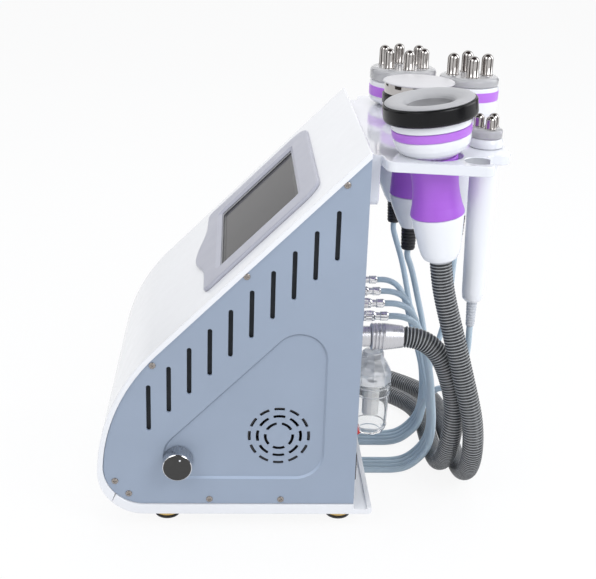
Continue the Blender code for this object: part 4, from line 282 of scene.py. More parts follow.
def carve(mesh, *tools, operation="DIFFERENCE"):
    """Apply Booleans between meshes that share one frame and return the new mesh."""
    base = add_object("carved", mesh)
    made = [add_object("tool", tool) for tool in tools]
    for other in made:
        modifier = base.modifiers.new("cut", "BOOLEAN")
        modifier.operation = operation
        modifier.solver = "EXACT"
        modifier.object = other
    result = evaluated_mesh(base)
    for obj in made + [base]:
        bpy.data.objects.remove(obj, do_unlink=True)
    return result


def loft_mesh(layers):
    form = bmesh.new()
    rings = [[form.verts.new((x, y, height)) for x, y in outline] for outline, height in layers]
    form.faces.new(rings[0])
    form.faces.new(rings[-1])
    skin(form, rings)
    return to_mesh(form)


def box_form(size, centre=(0, 0, 0)):
    form = bmesh.new()
    bmesh.ops.create_cube(form, size=1)
    matrix = Matrix.Translation(centre) @ Matrix.Diagonal((*size, 1))
    bmesh.ops.transform(form, matrix=matrix, verts=form.verts)
    return form


def soft_block(name, size, place, mat, edge, replaces=""):
    """A box with rounded edges, its centre on the local origin."""
    form = box_form(size)
    bmesh.ops.bevel(form, geom=form.edges[:] + form.verts[:], offset=edge, segments=3, affect="EDGES",
                    profile=0.5)
    add_piece(name, to_mesh(form), mat, place, replaces, angle=40, weighted=True)


def sweep(name, path, radii, sides, mat, replaces="", body=CONSOLE, angle=60):
    """A tube along PATH with a radius for each point, closed at both ends."""
    path = [Vector(p) for p in path]
    form = bmesh.new()
    normal = None
    rings = []
    for i, point in enumerate(path):
        tangent = (path[min(i + 1, len(path) - 1)] - path[max(i - 1, 0)]).normalized()
        normal = normal or tangent.orthogonal().normalized()
        normal = (normal - tangent * normal.dot(tangent)).normalized()
        side = tangent.cross(normal)
        rings.append([form.verts.new(point + radii[i] * (x * normal + y * side)) for x, y in around(sides)])
    form.faces.new(rings[0])
    form.faces.new(rings[-1])
    skin(form, rings)
    return add_piece(name, to_mesh(form), mat, Matrix(), replaces, body, angle)


def smooth_curve(points, count):
    """COUNT points on a natural cubic spline through POINTS by chord length, as in the CAD source."""
    places = np.array([tuple(p) for p in points])
    chords = np.concatenate(([0], np.cumsum(np.linalg.norm(np.diff(places, axis=0), axis=1))))
    steps = np.diff(chords)
    size = len(places)
    system, target = np.zeros((size, size)), np.zeros((size, 3))
    system[0, 0] = system[-1, -1] = 1
    for i in range(1, size - 1):
        system[i, i - 1:i + 2] = (steps[i - 1], 2 * (steps[i - 1] + steps[i]), steps[i])
        after = (places[i + 1] - places[i]) / steps[i]
        before = (places[i] - places[i - 1]) / steps[i - 1]
        target[i] = 6 * (after - before)
    bends = np.linalg.solve(system, target)
    out = []
    for distance in np.linspace(0, chords[-1], count):
        i = min(max(int(np.searchsorted(chords, distance, side="right")) - 1, 0), size - 2)
        left = (chords[i + 1] - distance) / steps[i]
        right = 1 - left
        curving = (left ** 3 - left) * bends[i] + (right ** 3 - right) * bends[i + 1]
        out.append(left * places[i] + right * places[i + 1] + steps[i] ** 2 / 6 * curving)
    return out


def length_of(path):
    return sum(float(np.linalg.norm(np.array(b) - np.array(a))) for a, b in zip(path, path[1:]))


# Materials

def node(owner, kind, **values):
    """A new shader node of a material or world, with values for its inputs."""
    made = owner.node_tree.nodes.new("ShaderNode" + kind)
    for key, value in values.items():
        made.inputs[key.replace("_", " ")].default_value = value
    return made


def join(owner, *pairs):
    for start, end in pairs:
        owner.node_tree.links.new(start, end)


def surface(mat):
    """Inputs of a material's main shader."""
    return mat.node_tree.nodes["Principled BSDF"].inputs


def shader(name, color, rough=0.4, metallic=0.0, **sockets):
    mat = bpy.data.materials.new(name)
    mat.use_nodes = True
    for key, value in dict(Base_Color=(*color, 1), Roughness=rough, Metallic=metallic, **sockets).items():
        surface(mat)[key.replace("_", " ")].default_value = value
    return mat


def noise(mat, scale, detail, stretch=(1, 1, 1)):
    where = node(mat, "TexCoord")
    mapping = node(mat, "Mapping", Scale=stretch)
    made = node(mat, "TexNoise", Scale=scale, Detail=detail)
    join(mat, (where.outputs["Object"], mapping.inputs["Vector"]),
         (mapping.outputs["Vector"], made.inputs["Vector"]))
    return made.outputs["Fac"]


def ranged(mat, value, low, high, start=0.3, end=0.7):
    made = node(mat, "MapRange", From_Min=start, From_Max=end, To_Min=low, To_Max=high)
    join(mat, (value, made.inputs["Value"]))
    return made.outputs["Result"]


def tint(mat, fac, first, second):
    """Colour that runs between two tones by a noise."""
    ramp = node(mat, "ValToRGB")
    for stop, position, tone in zip(ramp.color_ramp.elements, (0.3, 0.7), (first, second)):
        stop.position = position
        stop.color = (*tone, 1)
    join(mat, (fac, ramp.inputs["Fac"]), (ramp.outputs["Color"], surface(mat)["Base Color"]))


def bumps(mat, height, strength, depth):
    """Bumps of a height that is given in micrometres."""
    bump = node(mat, "Bump", Strength=strength, Distance=depth / 1e6)
    join(mat, (height, bump.inputs["Height"]), (bump.outputs["Normal"], surface(mat)["Normal"]))


def moulded(name, color, rough, spread, grain, depth, coat=0.0, **sockets):
    """Moulded or painted plastic: slight colour drift, uneven gloss and a skin DEPTH micrometres deep."""
    mat = shader(name, color, rough, Coat_Weight=coat, Coat_Roughness=0.08, **sockets)
    tint(mat, noise(mat, 9, 4), [c * (1 - spread) for c in color], [min(1, c * (1 + spread)) for c in color])
    gloss = ranged(mat, noise(mat, 60, 5), rough * 0.9, min(1, rough * 1.12))
    join(mat, (gloss, surface(mat)["Roughness"]))
    bumps(mat, noise(mat, grain, 2), 0.12, depth)
    return mat


def metal(name, color, rough, scale, depth=20, stretch=(1, 1, 1), metallic=1.0):
    """Metal with tool marks DEPTH micrometres deep that run along the least stretched axis."""
    mat = shader(name, color, rough, metallic)
    marks = noise(mat, scale, 4, stretch)
    join(mat, (ranged(mat, marks, rough * 0.7, rough * 1.4), surface(mat)["Roughness"]))
    tint(mat, marks, [c * 0.93 for c in color], [min(1, c * 1.04) for c in color])
    bumps(mat, marks, 0.3, depth)
    return mat


def display_glass():
    """A switched-off display: dark grey with a soft sheen and faint smears."""
    mat = shader("screen_glass", (0.05, 0.048, 0.05), 0.07, Specular_IOR_Level=0.06)
    tint(mat, noise(mat, 14, 3), (0.038, 0.036, 0.038), (0.053, 0.05, 0.052))
    join(mat, (ranged(mat, noise(mat, 30, 6), 0.05, 0.14), surface(mat)["Roughness"]))
    return mat


def brushed_disc():
    """The knob's dark face with fine straight brush marks."""
    mat = shader("knob_face", (0.055, 0.053, 0.052), 0.36, 0.3)
    marks = noise(mat, 50, 3, (1, 1, 26))
    join(mat, (ranged(mat, marks, 0.3, 0.36), surface(mat)["Roughness"]))
    tint(mat, marks, (0.036, 0.035, 0.034), (0.042, 0.041, 0.04))
    bumps(mat, marks, 0.1, 10)
    return mat


def painted_light_by_facing(mat, low, high):
    """Painted light and shade: the base colour is scaled from LOW on faces that look down to HIGH on faces
    that look up.
    """
    base = surface(mat)["Base Color"]
    facing = node(mat, "NewGeometry")
    parts = node(mat, "SeparateXYZ")
    scaled = node(mat, "VectorMath")
    scaled.operation = "SCALE"
    share = ranged(mat, parts.outputs["Z"], low, high, -0.7, 0.7)
    join(mat, (facing.outputs["True Normal"], parts.inputs[0]), (base.links[0].from_socket, scaled.inputs[0]),
         (share, scaled.inputs["Scale"]), (scaled.outputs[0], base))


WHITE = moulded("white_shell", (0.87, 0.875, 0.9), 0.24, 0.006, 1500, 6, 0.3)
PANEL = moulded("panel_grey", (0.315, 0.375, 0.475), 0.42, 0.04, 1600, 40)
BEZEL = moulded("bezel_lilac", (0.445, 0.452, 0.525), 0.33, 0.02, 1200, 20)
DARK = moulded("dark_plastic", (0.022, 0.022, 0.026), 0.42, 0.1, 1500, 40)
RING_BLACK = moulded("ring_black", (0.006, 0.006, 0.007), 0.24, 0.1, 600, 10, Specular_IOR_Level=0.22)
PURPLE = moulded("grip_purple", (0.4, 0.115, 0.68), 0.4, 0.05, 1400, 40, 0.1)
PURPLE_BAND = moulded("band_purple", (0.5, 0.17, 0.78), 0.34, 0.04, 1400, 20, 0.15)
ACRYLIC = moulded("acrylic_white", (0.8, 0.815, 0.86), 0.1, 0.01, 80, 10, 0.8)
HOLE_WALL = moulded("hole_wall", (0.42, 0.43, 0.46), 0.15, 0.04, 300, 10, 0.5)
HAND_WHITE = moulded("handpiece_white", (0.86, 0.87, 0.905), 0.24, 0.006, 900, 6, 0.4)
HEAD_FACE = moulded("head_face", (0.59, 0.58, 0.6), 0.38, 0.01, 900, 10)
CAP_GREY = moulded("cap_grey", (0.64, 0.64, 0.66), 0.16, 0.02, 600, 10, 0.6,
                   Transmission_Weight=0.45, IOR=1.25)
CUP_SILVER = moulded("cup_silver", (0.4, 0.4, 0.415), 0.42, 0.02, 1200, 10)
CUP_INSIDE = moulded("cup_inside", (0.2, 0.2, 0.21), 0.4, 0.03, 900, 10)
# Painted shade: colour of a dark sheet behind the slots that stands in for the shade inside the casing
SLOT_SHADE = moulded("slot_shade_sheet", (0.032, 0.035, 0.039), 0.9, 0.2, 2500, 100)
FILTER = moulded("filter_white", (0.84, 0.84, 0.83), 0.85, 0.06, 1800, 100)
CLEAR = moulded("clear_bowl", (0.98, 0.985, 0.99), 0.05, 0.01, 300, 5,
                Transmission_Weight=0.94, IOR=1.1)
CLEAR_HEAD = moulded("filter_head", (0.93, 0.94, 0.955), 0.1, 0.02, 500, 5, 0.3,
                     Transmission_Weight=0.7, IOR=1.14)
RED = moulded("switch_red", (0.62, 0.015, 0.012), 0.2, 0.05, 300, 10, 0.3)
CABLE = moulded("cable_blue", (0.46, 0.57, 0.66), 0.34, 0.06, 500, 20, 0.2)
HOSE = moulded("hose_grey", (0.042, 0.044, 0.047), 0.34, 0.08, 700, 10, 0.1)
HOSE_RIDGE = moulded("hose_ridge", (0.3, 0.31, 0.32), 0.28, 0.06, 700, 10, 0.2)
BOOT_PALE = moulded("boot_pale", (0.62, 0.64, 0.68), 0.42, 0.03, 800, 20)
BOARD = moulded("board_green", (0.018, 0.12, 0.05), 0.38, 0.2, 300, 30, 0.2)
CHROME = metal("chrome", (0.78, 0.78, 0.8), 0.09, 250, 4)
POLE_STEEL = metal("pole_steel", (0.47, 0.45, 0.44), 0.07, 60, 0.2)
SCREW_STEEL = metal("screw_steel", (0.34, 0.31, 0.29), 0.26, 500, 10)
KNOB_SIDE = metal("knob_side", (0.5, 0.51, 0.53), 0.22, 60, 10, (1, 30, 30))
ALUMINIUM = metal("aluminium", (0.6, 0.6, 0.63), 0.3, 60, stretch=(1, 30, 1))
STEEL = metal("steel", (0.52, 0.53, 0.55), 0.34, 60, stretch=(20, 1, 1))
BRASS = metal("brass", (0.68, 0.47, 0.18), 0.28, 300)
GOLD = metal("gold_foot", (0.66, 0.47, 0.19), 0.32, 60, stretch=(1, 1, 40), metallic=0.85)
GLASS = display_glass()
KNOB_FACE = brushed_disc()
# Painted light and shade on the side and back panels: brighter where a face looks up, darker where it looks
# down
painted_light_by_facing(PANEL, 0.66, 1.34)


def dress(mat, *names):
    """Give CAD nodes that stay in view their material."""
    for name in names:
        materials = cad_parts[name].data.materials
        if not materials:
            materials.append(mat)
        for index in range(len(materials)):
            materials[index] = mat


# Casing

def casing_circles(inset, floor):
    """Centre and radius of the corner's arc and of the big front arc, both moved in by INSET."""
    corner_radius = CORNER_RADIUS - inset
    front_radius = ARC_RADIUS - inset
    corner = (CASE_FRONT + inset + corner_radius, floor + corner_radius)
    rise = SLOPE - inset * sqrt(2) - front_radius * sqrt(2)
    reach = front_radius - corner_radius
    mean = (corner[0] + corner[1] - rise) / 2
    spread = (corner[1] - rise - corner[0]) / 2
    y = mean + sqrt(reach ** 2 / 2 - spread ** 2)
    return corner, corner_radius, (y, y + rise), front_radius


def front_outline(inset, floor, end):
    """From the slope down the big front arc, then along the corner's arc to the angle END."""
    corner, corner_radius, front, front_radius = casing_circles(inset, floor)
    meeting = atan2(corner[1] - front[1], corner[0] - front[0]) % (2 * pi)
    return arc(front, front_radius, radians(135), meeting) + arc(corner, corner_radius, meeting, end)[1:]


def slope_at(y, inset):
    return (y, y + SLOPE - inset * sqrt(2))


def window_outline(grow, corner=0.003):
    """The screen's opening in the slope's own frame, its sides moved out by GROW."""
    half = 0.086 + grow
    return fillet(rectangle(-half, -0.1855 - grow, half, -0.084 + grow), [corner + grow] * 4)


def front_cover():
    corners = [(CASE_BACK, CASE_TOP - 0.0043), (CASE_BACK, CASE_TOP), (0.1029, CASE_TOP), slope_at(0.08, 0)]
    top = fillet(corners, [0, 0.0012, 0.002, 0], closed=False)
    inner = front_outline(COVER, PANEL_FLOOR, SEAM)
    outline = top[:-1] + front_outline(0, FLOOR, SEAM) + inner[::-1] + [slope_at(CASE_BACK, COVER)]
    sheet = flat_plate([outline], 2 * HALF_WIDTH, CASE_EDGE, 2)
    sheet.transform(SIDE)
    opening = flat_plate([window_outline(0)], 4 * COVER)
    opening.transform(slope_frame())
    add_piece("cover_sheet", carve(sheet, opening), WHITE, replaces="front_cover", angle=28, weighted=True)


def stadium(y, z, length, width):
    radius = width / 2
    half = length / 2 - radius
    step = radians(15)
    return arc((y, z + half), radius, 0, pi, step) + arc((y, z - half), radius, pi, 2 * pi, step)


def grille_slot(radius, middle, half):
    """A curved slot with small round corners."""
    outer = arc(FAN_CENTRE, radius + GRILLE_HALF_SLOT, middle - half, middle + half, radians(5))
    inner = arc(FAN_CENTRE, radius - GRILLE_HALF_SLOT, middle + half, middle - half, radians(5))
    points = outer + inner
    corners = (0, len(outer) - 1, len(outer), len(points) - 1)
    return fillet(points, [0.0008 if k in corners else 0 for k in range(len(points))], step=radians(25))


def relief_outline(shrink):
    slope = RELIEF_SLOPE - shrink * sqrt(2)
    right = RELIEF_RIGHT - shrink
    bottom = RELIEF_BOTTOM + shrink
    return fillet([(bottom - slope, bottom), (right, bottom), (right, right + slope)],
                  [radius - shrink for radius in RELIEF_RADII], step=radians(3))


def side_panel(name, side, node_name):
    back = CASE_BACK - GAP / 2
    front = front_outline(COVER + GAP, PANEL_FLOOR, radians(270))
    outline = [slope_at(back, COVER + GAP)] + front + [(back, PANEL_FLOOR)]
    slots = [np.array(SLOT_FIRST) + i * np.array(SLOT_STEP) for i in range(SLOT_COUNT)]
    holes = [stadium(*middle, SLOT_LENGTH, SLOT_WIDTH) for middle in slots]
    for radius, count, start in GRILLE_RINGS:
        half = pi / count - GRILLE_HALF_BRIDGE / radius
        holes += [grille_slot(radius, radians(start) + i * 2 * pi / count, half) for i in range(count)]
    pressed = loft_mesh([(relief_outline(RELIEF_WALL), PANEL_THICKNESS / 2 - RELIEF_DEPTH),
                         (relief_outline(-RELIEF_WALL), PANEL_THICKNESS / 2 + 0.0008)])
    mesh = carve(flat_plate([outline] + holes, PANEL_THICKNESS, 0.00022), pressed)
    turn = SIDE
    if side < 0:
        mesh.flip_normals()
        turn = Matrix.Diagonal((-1, 1, 1, 1)) @ SIDE
    place = put(side * (PANEL_FACE - PANEL_THICKNESS / 2), 0, 0, turn)
    add_piece(name, mesh, PANEL, place, node_name, angle=25, weighted=True)


def cross_screw():
    """A pan-head cross screw, its head standing on the local origin."""
    form = spin(soften(mm((0, 1.3), (2.2, 1.2), (3.1, 0.7), (3.3, -0.3), (0, -0.3)), 0.0004), 28)
    bars = [box_form((width, depth, 0.0012), (0, 0, 0.0011))
            for width, depth in mm((3.4, 0.7), (0.7, 3.4))]
    return carve(to_mesh(form), *(to_mesh(bar) for bar in bars))


SCREW = cross_screw()


def screw(name, place, mat=STEEL, scale=1.0):
    mesh = SCREW.copy()
    mesh.transform(Matrix.Diagonal((scale, scale, scale, 1)))
    add_piece(name, mesh, mat, place)


def casing():
    front_cover()
    side_panel("right_panel", 1, "side_panel_right")
    side_panel("left_panel", -1, "side_panel_left")
    places = mm((-125, 52), (-112, 38.5), (-34.9, 32.7), (33.7, 32.5), (-88.3, 172.9), (-2.5, 261.3),
                (84.3, 348))
    for side, letter in ((1, "r"), (-1, "l")):
        for i, (y, z) in enumerate(places):
            turn = rotation(90 * side, "Y") @ Matrix.Rotation(0.6 * i, 4, "Z")
            screw(f"panel_screw_{letter}{i}", put(side * PANEL_FACE, y, z, turn), SCREW_STEEL)
    # Painted shade: dark sheets just behind the side panels' slots darken what is seen through them
    for side, letter in ((1, "r"), (-1, "l")):
        shade_sheet = flat_plate([mm((-98.2, 93.8), (84.2, 271.2), (84.2, 330.2), (-98.2, 152.8))], 0.0006)
        place = put(side * (PANEL_FACE - PANEL_THICKNESS - 0.0012), 0, 0, SIDE)
        add_piece(f"slot_shade_sheet_{letter}", shade_sheet, SLOT_SHADE, place)
    tray()
    dress(PANEL, "back_panel")


def tray():
    """The base tray with its rounded front, rim and rear lip."""
    seam = SEAM + radians(0.6)
    corner, radius, _, _ = casing_circles(0, FLOOR)
    inner_corner, inner_radius, _, _ = casing_circles(COVER + GAP, PANEL_FLOOR - GAP)
    inner_floor = PANEL_FLOOR - GAP
    inner_rim = TRAY_RIM - 0.002
    lip = fillet([(0.05, FLOOR), (0.123, FLOOR), (0.123, TRAY_RIM), (0.118, TRAY_RIM), (0.118, inner_rim),
                  (0.1053, inner_rim), (0.1053, inner_floor), (0.05, inner_floor)],
                 [0, 0.0045, 0.0016, 0.0006, 0.0006, 0.0003, 0.0005, 0], closed=False, step=radians(15))
    outline = (arc(corner, radius, seam, radians(270)) + lip[1:-1]
               + arc(inner_corner, inner_radius, radians(270), seam))
    mesh = flat_plate([outline], 2 * HALF_WIDTH, CASE_EDGE, 2)
    mesh.transform(SIDE)
    pocket = to_mesh(box_form((0.2772, 0.1965, 0.012), (0, 0.00075, 0.0263)))
    add_piece("tray_body", carve(mesh, pocket), WHITE, replaces="base_tray", angle=28, weighted=True)


# Screen

def bezel_outline(inset):
    """The bezel with its bulge on the lower edge, its sides moved in by INSET."""
    lowest = 0.221 - inset
    ledge = 0.207 - inset
    half = 0.117 - inset
    top = -0.059 - inset
    count = 28
    wave = [(0.074 * i / count, -ledge - 0.014 * (1 + cos(pi * i / count)) / 2) for i in range(1, count)]
    corners = fillet([(0.074, -ledge), (half, -ledge + 0.001), (half, top), (0, top)],
                     [0, 0.008 - inset, 0.019 - inset, 0], closed=False)[:-1]
    side = wave + corners
    return [(0, -lowest)] + side + [(-x, y) for x, y in reversed(side)]


def screen():
    body = loft_mesh([(bezel_outline(inset), height)
                      for inset, height in mm((0, 0), (0, 1.4), (0.4, 2.2), (1.2, 2.9), (2.6, 3.3))])
    steps = mm((0, 3, -2), (0, 3, 1), (3.6, 3, 2.8), (4.6, 3.6, 3.4), (5, 3.6, 4.5))
    window = loft_mesh([(window_outline(grow, corner), height) for grow, corner, height in steps])
    bezel = carve(body, window)
    add_piece("bezel_body", bezel, BEZEL, slope_frame(GAP), "screen_bezel", angle=24, weighted=True)
    dress(GLASS, "touch_glass")
    border = flat_plate([window_outline(-0.0005), window_outline(-0.0048, 0.0062)], 0.00012)
    add_piece("display_border", border, RING_BLACK, slope_frame(-0.00068))
    dress(DARK, "display_module")


# Knob, feet and inner pieces

def knob():
    turned = partial(lathe, place=put(*KNOB_PLACE, TO_RIGHT), body="knob_body")
    grip = mm((0, -0.4), (12.8, -0.4), (13.8, -1.2), (14.1, -2.6), (14.1, -15), (14.3, -15.6), (14.4, -17.1),
              (3, -17.1), (3, -33.1), (0, -33.1))
    turned("knob_grip", grip, KNOB_SIDE, "knob", 96, 0.0003)
    face = mm((0, 0), (12.4, 0), (12.9, -0.2), (13.1, -0.6), (13.1, -1), (0, -1))
    turned("knob_face", face, KNOB_FACE, "", 72, 0.0001)
    ring = mm((13.2, -0.3), (13.7, -0.7), (14.1, -1.6), (13.8, -2), (13.3, -1.4))
    turned("knob_ring", ring, CHROME, "", 72, 0.0001)
    mark = mm((0, 0.1), (0.9, 0.1), (1.1, -0.3), (0, -0.3))
    place = put(KNOB_PLACE[0], -0.0625, 0.0828, TO_RIGHT)
    lathe("knob_mark", mark, HAND_WHITE, "", 24, 0.0001, place, "knob_body")


def feet():
    shell = mm((0, 16.8), (12.15, 16.8), (12.25, 12), (11.9, 11.2), (11.9, 10.4), (12.25, 9.6), (12.25, 4),
               (11.4, 2.6), (0, 2.6))
    pad = mm((0, 2.5), (11.6, 2.5), (12.25, 2), (12.25, 0.6), (11.7, 0), (7.2, 0), (6.8, 0.4), (0, 0.4))
    for index, (x, y) in enumerate(((x, y) for x in (-0.113, 0.113) for y in (-0.0768, 0.0925)), start=1):
        lathe(f"foot_shell_{index}", shell, GOLD, f"foot_{index}", 56, 0.0004, put(x, y, 0))
        lathe(f"foot_pad_{index}", pad, DARK, "", 40, 0.0002, put(x, y, 0))


def fan_details():
    y, z = FAN_CENTRE
    label = mm((0, 0.4), (8.5, 0.4), (8.8, 0), (0, 0))
    lathe("fan_label", label, CHROME, "", 40, 0.0001, put(0.1381, y, z, TO_RIGHT), "fan_spinner")
    reach = 0.0255
    for i, (down, up) in enumerate(((-1, -1), (-1, 1), (1, -1), (1, 1))):
        screw(f"fan_screw_{i}", put(0.1243, y + down * reach, z + up * reach, rotation(-90, "Y")), DARK, 0.8)


def board_parts():
    capacitor = mm((0, 12), (3.4, 12), (3.6, 0.5), (3, 0), (0, 0))
    for i in range(5):
        place = put(-0.1296, 0.01 + i * 0.009, 0.135 + 0.006 * (i % 2), TO_RIGHT)
        lathe(f"board_capacitor_{i}", capacitor, DARK if i % 2 else ALUMINIUM, "", 24, 0.0004, place)
    for i in range(6):
        place = put(-0.104, -0.047 + i * 0.0078, 0.132)
        soft_block(f"board_fin_{i}", (0.016, 0.0012, 0.026), place, ALUMINIUM, 0.0003)


def inner_lines():
    """Two hoses from the pump's head, and three wires."""
    hoses = (mm((46.5, -64, 79), (46.5, -64, 100), (75, -64, 115), (108, -65, 105), (117.5, -65, 98.5)),
             mm((63.5, -64, 79), (63.5, -60, 110), (60, -10, 140), (52, 60, 142), (50, 93, 135.5)))
    for i, points in enumerate(hoses):
        sweep(f"inner_hose_{i}", smooth_curve(points, 40), [0.0035] * 40, 12, BOOT_PALE)
    ends = mm((-60, 70, 52), (-125, 30, 118), (-50, 70, 52), (98, 83, 94), (-70, -50, 50), (50, -50, 60))
    for i, (start, end) in enumerate(zip(ends[::2], ends[1::2])):
        middle = ((start[0] + end[0]) / 2, (start[1] + end[1]) / 2, max(start[2], end[2]) + 0.02)
        path = smooth_curve([start, middle, end], 24)
        sweep(f"inner_wire_{i}", path, [0.0016] * 24, 10, RED if i == 1 else DARK)


def inner_pieces():
    dress(BRASS, "regulator_body")
    dress(DARK, "fan_frame", "fan_rotor")
    dress(STEEL, "vacuum_pump", "power_supply")
    dress(BOARD, "control_board")
    dress(FILTER, "filter_element")
    fan_details()
    board_parts()
    inner_lines()


# Back panel fittings

def knurled(profile, steps, low, high):
    """A turned sleeve with straight knurling between two heights."""
    mesh = to_mesh(spin(soften(profile, 0.0002), steps))
    limit = max(radius for radius, _ in profile) * 0.97
    for vertex in mesh.vertices:
        place = vertex.co
        is_skin = hypot(place.x, place.y) > limit and low < place.z < high
        if is_skin and round(atan2(place.y, place.x) / (2 * pi / steps)) % 2:
            place.x *= 0.95
            place.y *= 0.95
    return mesh


def cable_connectors():
    socket = mm((0, 9), (4.2, 9), (4.4, 8.6), (4.4, 2.5), (6.6, 2.5), (6.8, 2.1), (6.8, 0), (4.4, 0),
                (4.4, -2.8), (6.5, -2.8), (6.5, -5.3), (4.4, -5.3), (4.4, -15.3), (0, -15.3))
    face = CASE_BACK + GAP
    start = face + GAP + 0.009
    end = PLUG_END - start
    rings = mm((5.3, 0.8), (5.3, 2), (5, 2.3), (5.3, 2.6), (5.3, 8.4), (5, 8.7), (5.3, 9), (5.3, 10.2))
    plug = [(0, end), (0.0036, end), (0.0046, end - 0.0015), (0.0046, end - 0.008), (0.0039, end - 0.0085),
            *mm((3.8, 12.5), (4.8, 11.2)), *reversed(rings), *mm((4.9, 0), (0, 0))]
    for i, x in enumerate(SOCKET_XS, start=1):
        place = put(x, face, SOCKET_HEIGHT, TO_BACK)
        lathe(f"socket_{i}", socket, CHROME, f"cable_socket_{i}", 48, 0.0002, place)
        corners = [(0.0068 * cos(k * pi / 3 + i), 0.0068 * sin(k * pi / 3 + i)) for k in range(6)]
        nut = flat_plate([corners, circle(0.0046, radians(15))], 0.0018, 0.0003)
        add_piece(f"socket_nut_{i}", nut, CHROME, place @ put(0, 0, 0.0034))
        sleeve = knurled(plug, 60, 0.0026, 0.0084)
        add_piece(f"plug_{i}", sleeve, CHROME, put(x, start, SOCKET_HEIGHT, TO_BACK), f"cable_plug_{i}")


def hose_connector():
    x, z = HOSE_PORT
    flange = mm((0, 12.5), (10, 12.5), (10, 4), (15, 3), (16, 2), (16, 0), (10, 0), (10, -12.2), (0, -12.2))
    lathe("hose_port", flange, ALUMINIUM, "hose_socket", 72, 0.0005, put(x, CASE_BACK + GAP, z, TO_BACK))
    cone = mm((0, 31.5), (10.4, 31.5), (10.75, 30.8), (11.6, 24), (12.6, 16.5), (13, 13.6))
    for middle in (0.0102, 0.0068, 0.0034):
        cone += [(0.013, middle + 0.0007), (0.0122, middle + 0.0004), (0.0122, middle - 0.0004),
                 (0.013, middle - 0.0007)]
    cone += mm((13, 1), (12, 0), (0, 0))
    lathe("hose_coupling", cone, ALUMINIUM, "hose_plug", 72, 0.0003, put(x, 0.1181, z, TO_BACK))


def filter_unit():
    """The clear moisture filter: a bell-shaped head with facets over a tapered bowl."""
    x, y = FILTER_PLACE
    head = mm((0, 33), (9.8, 33), (10.8, 32), (11, 26.5), (15, 20.5), (19.3, 13), (19.8, 11.5), (19.8, 1),
              (19, 0), (4, 0), (4, -4), (0, -4))
    add_piece("filter_cap", to_mesh(spin(soften(head, 0.0004), 10)), CLEAR_HEAD, put(x, y, 0.117), angle=20)
    mount = put(x, 0.1168, 0.1365)
    soft_block("filter_mount", (0.018, 0.0225, 0.02), mount, CLEAR_HEAD, 0.0012, "filter_head")
    for i, side in enumerate((-1, 1)):
        screw(f"filter_screw_{i}", put(x + side * 0.0065, y, 0.145), STEEL, 0.7)
    bowl = mm((19, 56), (19.2, 50), (18.8, 49), (18.6, 46), (17.6, 20), (16.8, 6), (14.8, 1.8), (11, 0),
              (0, 0), (0, 2), (10.6, 2), (13.6, 4.2), (15, 7.5), (17, 56))
    turned = partial(lathe, place=put(x, y, FILTER_FLOOR), body="filter_cup")
    turned("filter_glass", bowl, CLEAR, "filter_bowl")
    for i, (height, radius) in enumerate(mm((53, 19.1), (44, 18.6), (8.5, 17.1))):
        outer = radius + 0.0004
        band = [(radius, height + 0.0008), (outer, height + 0.0004), (outer, height - 0.0004),
                (radius, height - 0.0008)]
        turned(f"filter_band_{i}", band, CLEAR_HEAD, soft=0)


def rocker_outline(half, valley_depth):
    """The rocker seen from its side: two faces that meet in a hollow, on a rounded back."""
    end = arc((0, 0), 0.009, radians(52), radians(104), radians(6))
    upper = end + [(-0.0065, end[0][1] / 2)]
    valley = [(end[0][0] - valley_depth * (1 - (k / 4) ** 2), half * k / 4) for k in range(1, 4)]
    mirrored = [(x, -y) for x, y in reversed(valley + upper)]
    return [(end[0][0] - valley_depth, 0)] + valley + upper + mirrored


def rocker():
    half = 0.009 * sin(radians(52))
    valley_depth = half * tan(ROCKER_TILT)
    tilted = put(*SWITCH_PLACE, Matrix.Rotation(ROCKER_TILT, 4, "X"))
    cap = flat_plate([rocker_outline(half, valley_depth)], 0.018, 0.0008, 2)
    add_piece("rocker_cap", cap, RED, tilted @ SIDE, "rocker_switch", "rocker", weighted=True)
    # Generic on and off marks on the two halves of the rocker
    line = [rectangle(-0.0003, -0.0016, 0.0003, 0.0016)]
    ring = [circle(0.0018, 0.3), circle(0.0013, 0.3)]
    surface_y = 0.009 * cos(radians(52)) - valley_depth + 0.0042 * tan(ROCKER_TILT) + 0.00005
    for name, loops, side in (("rocker_on", line, 1), ("rocker_off", ring, -1)):
        slant = Matrix.Rotation(-side * ROCKER_TILT, 4, "X")
        place = tilted @ put(0, surface_y, side * 0.0042, slant @ TO_BACK)
        add_piece(name, flat_plate(loops, 0.0002), HAND_WHITE, place, "", "rocker")


def power_side():
    dress(DARK, "power_inlet", "switch_housing")
    loops = [fillet(rectangle(-half, -half, half, half), [radius] * 4)
             for half, radius in mm((12.7, 1.2), (9.3, 0.5))]
    x, y, z = SWITCH_PLACE
    rim = flat_plate(loops, 0.001, 0.0003)
    add_piece("switch_rim", rim, DARK, put(x, y + GAP + 0.0022, z, TO_BACK))
    rocker()
    for i, side in enumerate((-1, 1)):
        screw(f"inlet_screw_{i}", put(x + side * 0.0205, y + GAP + 0.0028, 0.057, TO_BACK), STEEL, 0.8)


# Holder

def hole_cutter(x, y, radius):
    """A hole through the holder with a small chamfer on both faces."""
    half = HOLDER_THICKNESS / 2
    wide = radius + 0.0008
    cutter = to_mesh(spin([(0, 0.006), (wide, 0.006), (wide, half), (radius, 0.004), (radius, -0.004),
                           (wide, -half), (wide, -0.006), (0, -0.006)]))
    cutter.transform(put(x, y, 0))
    return cutter


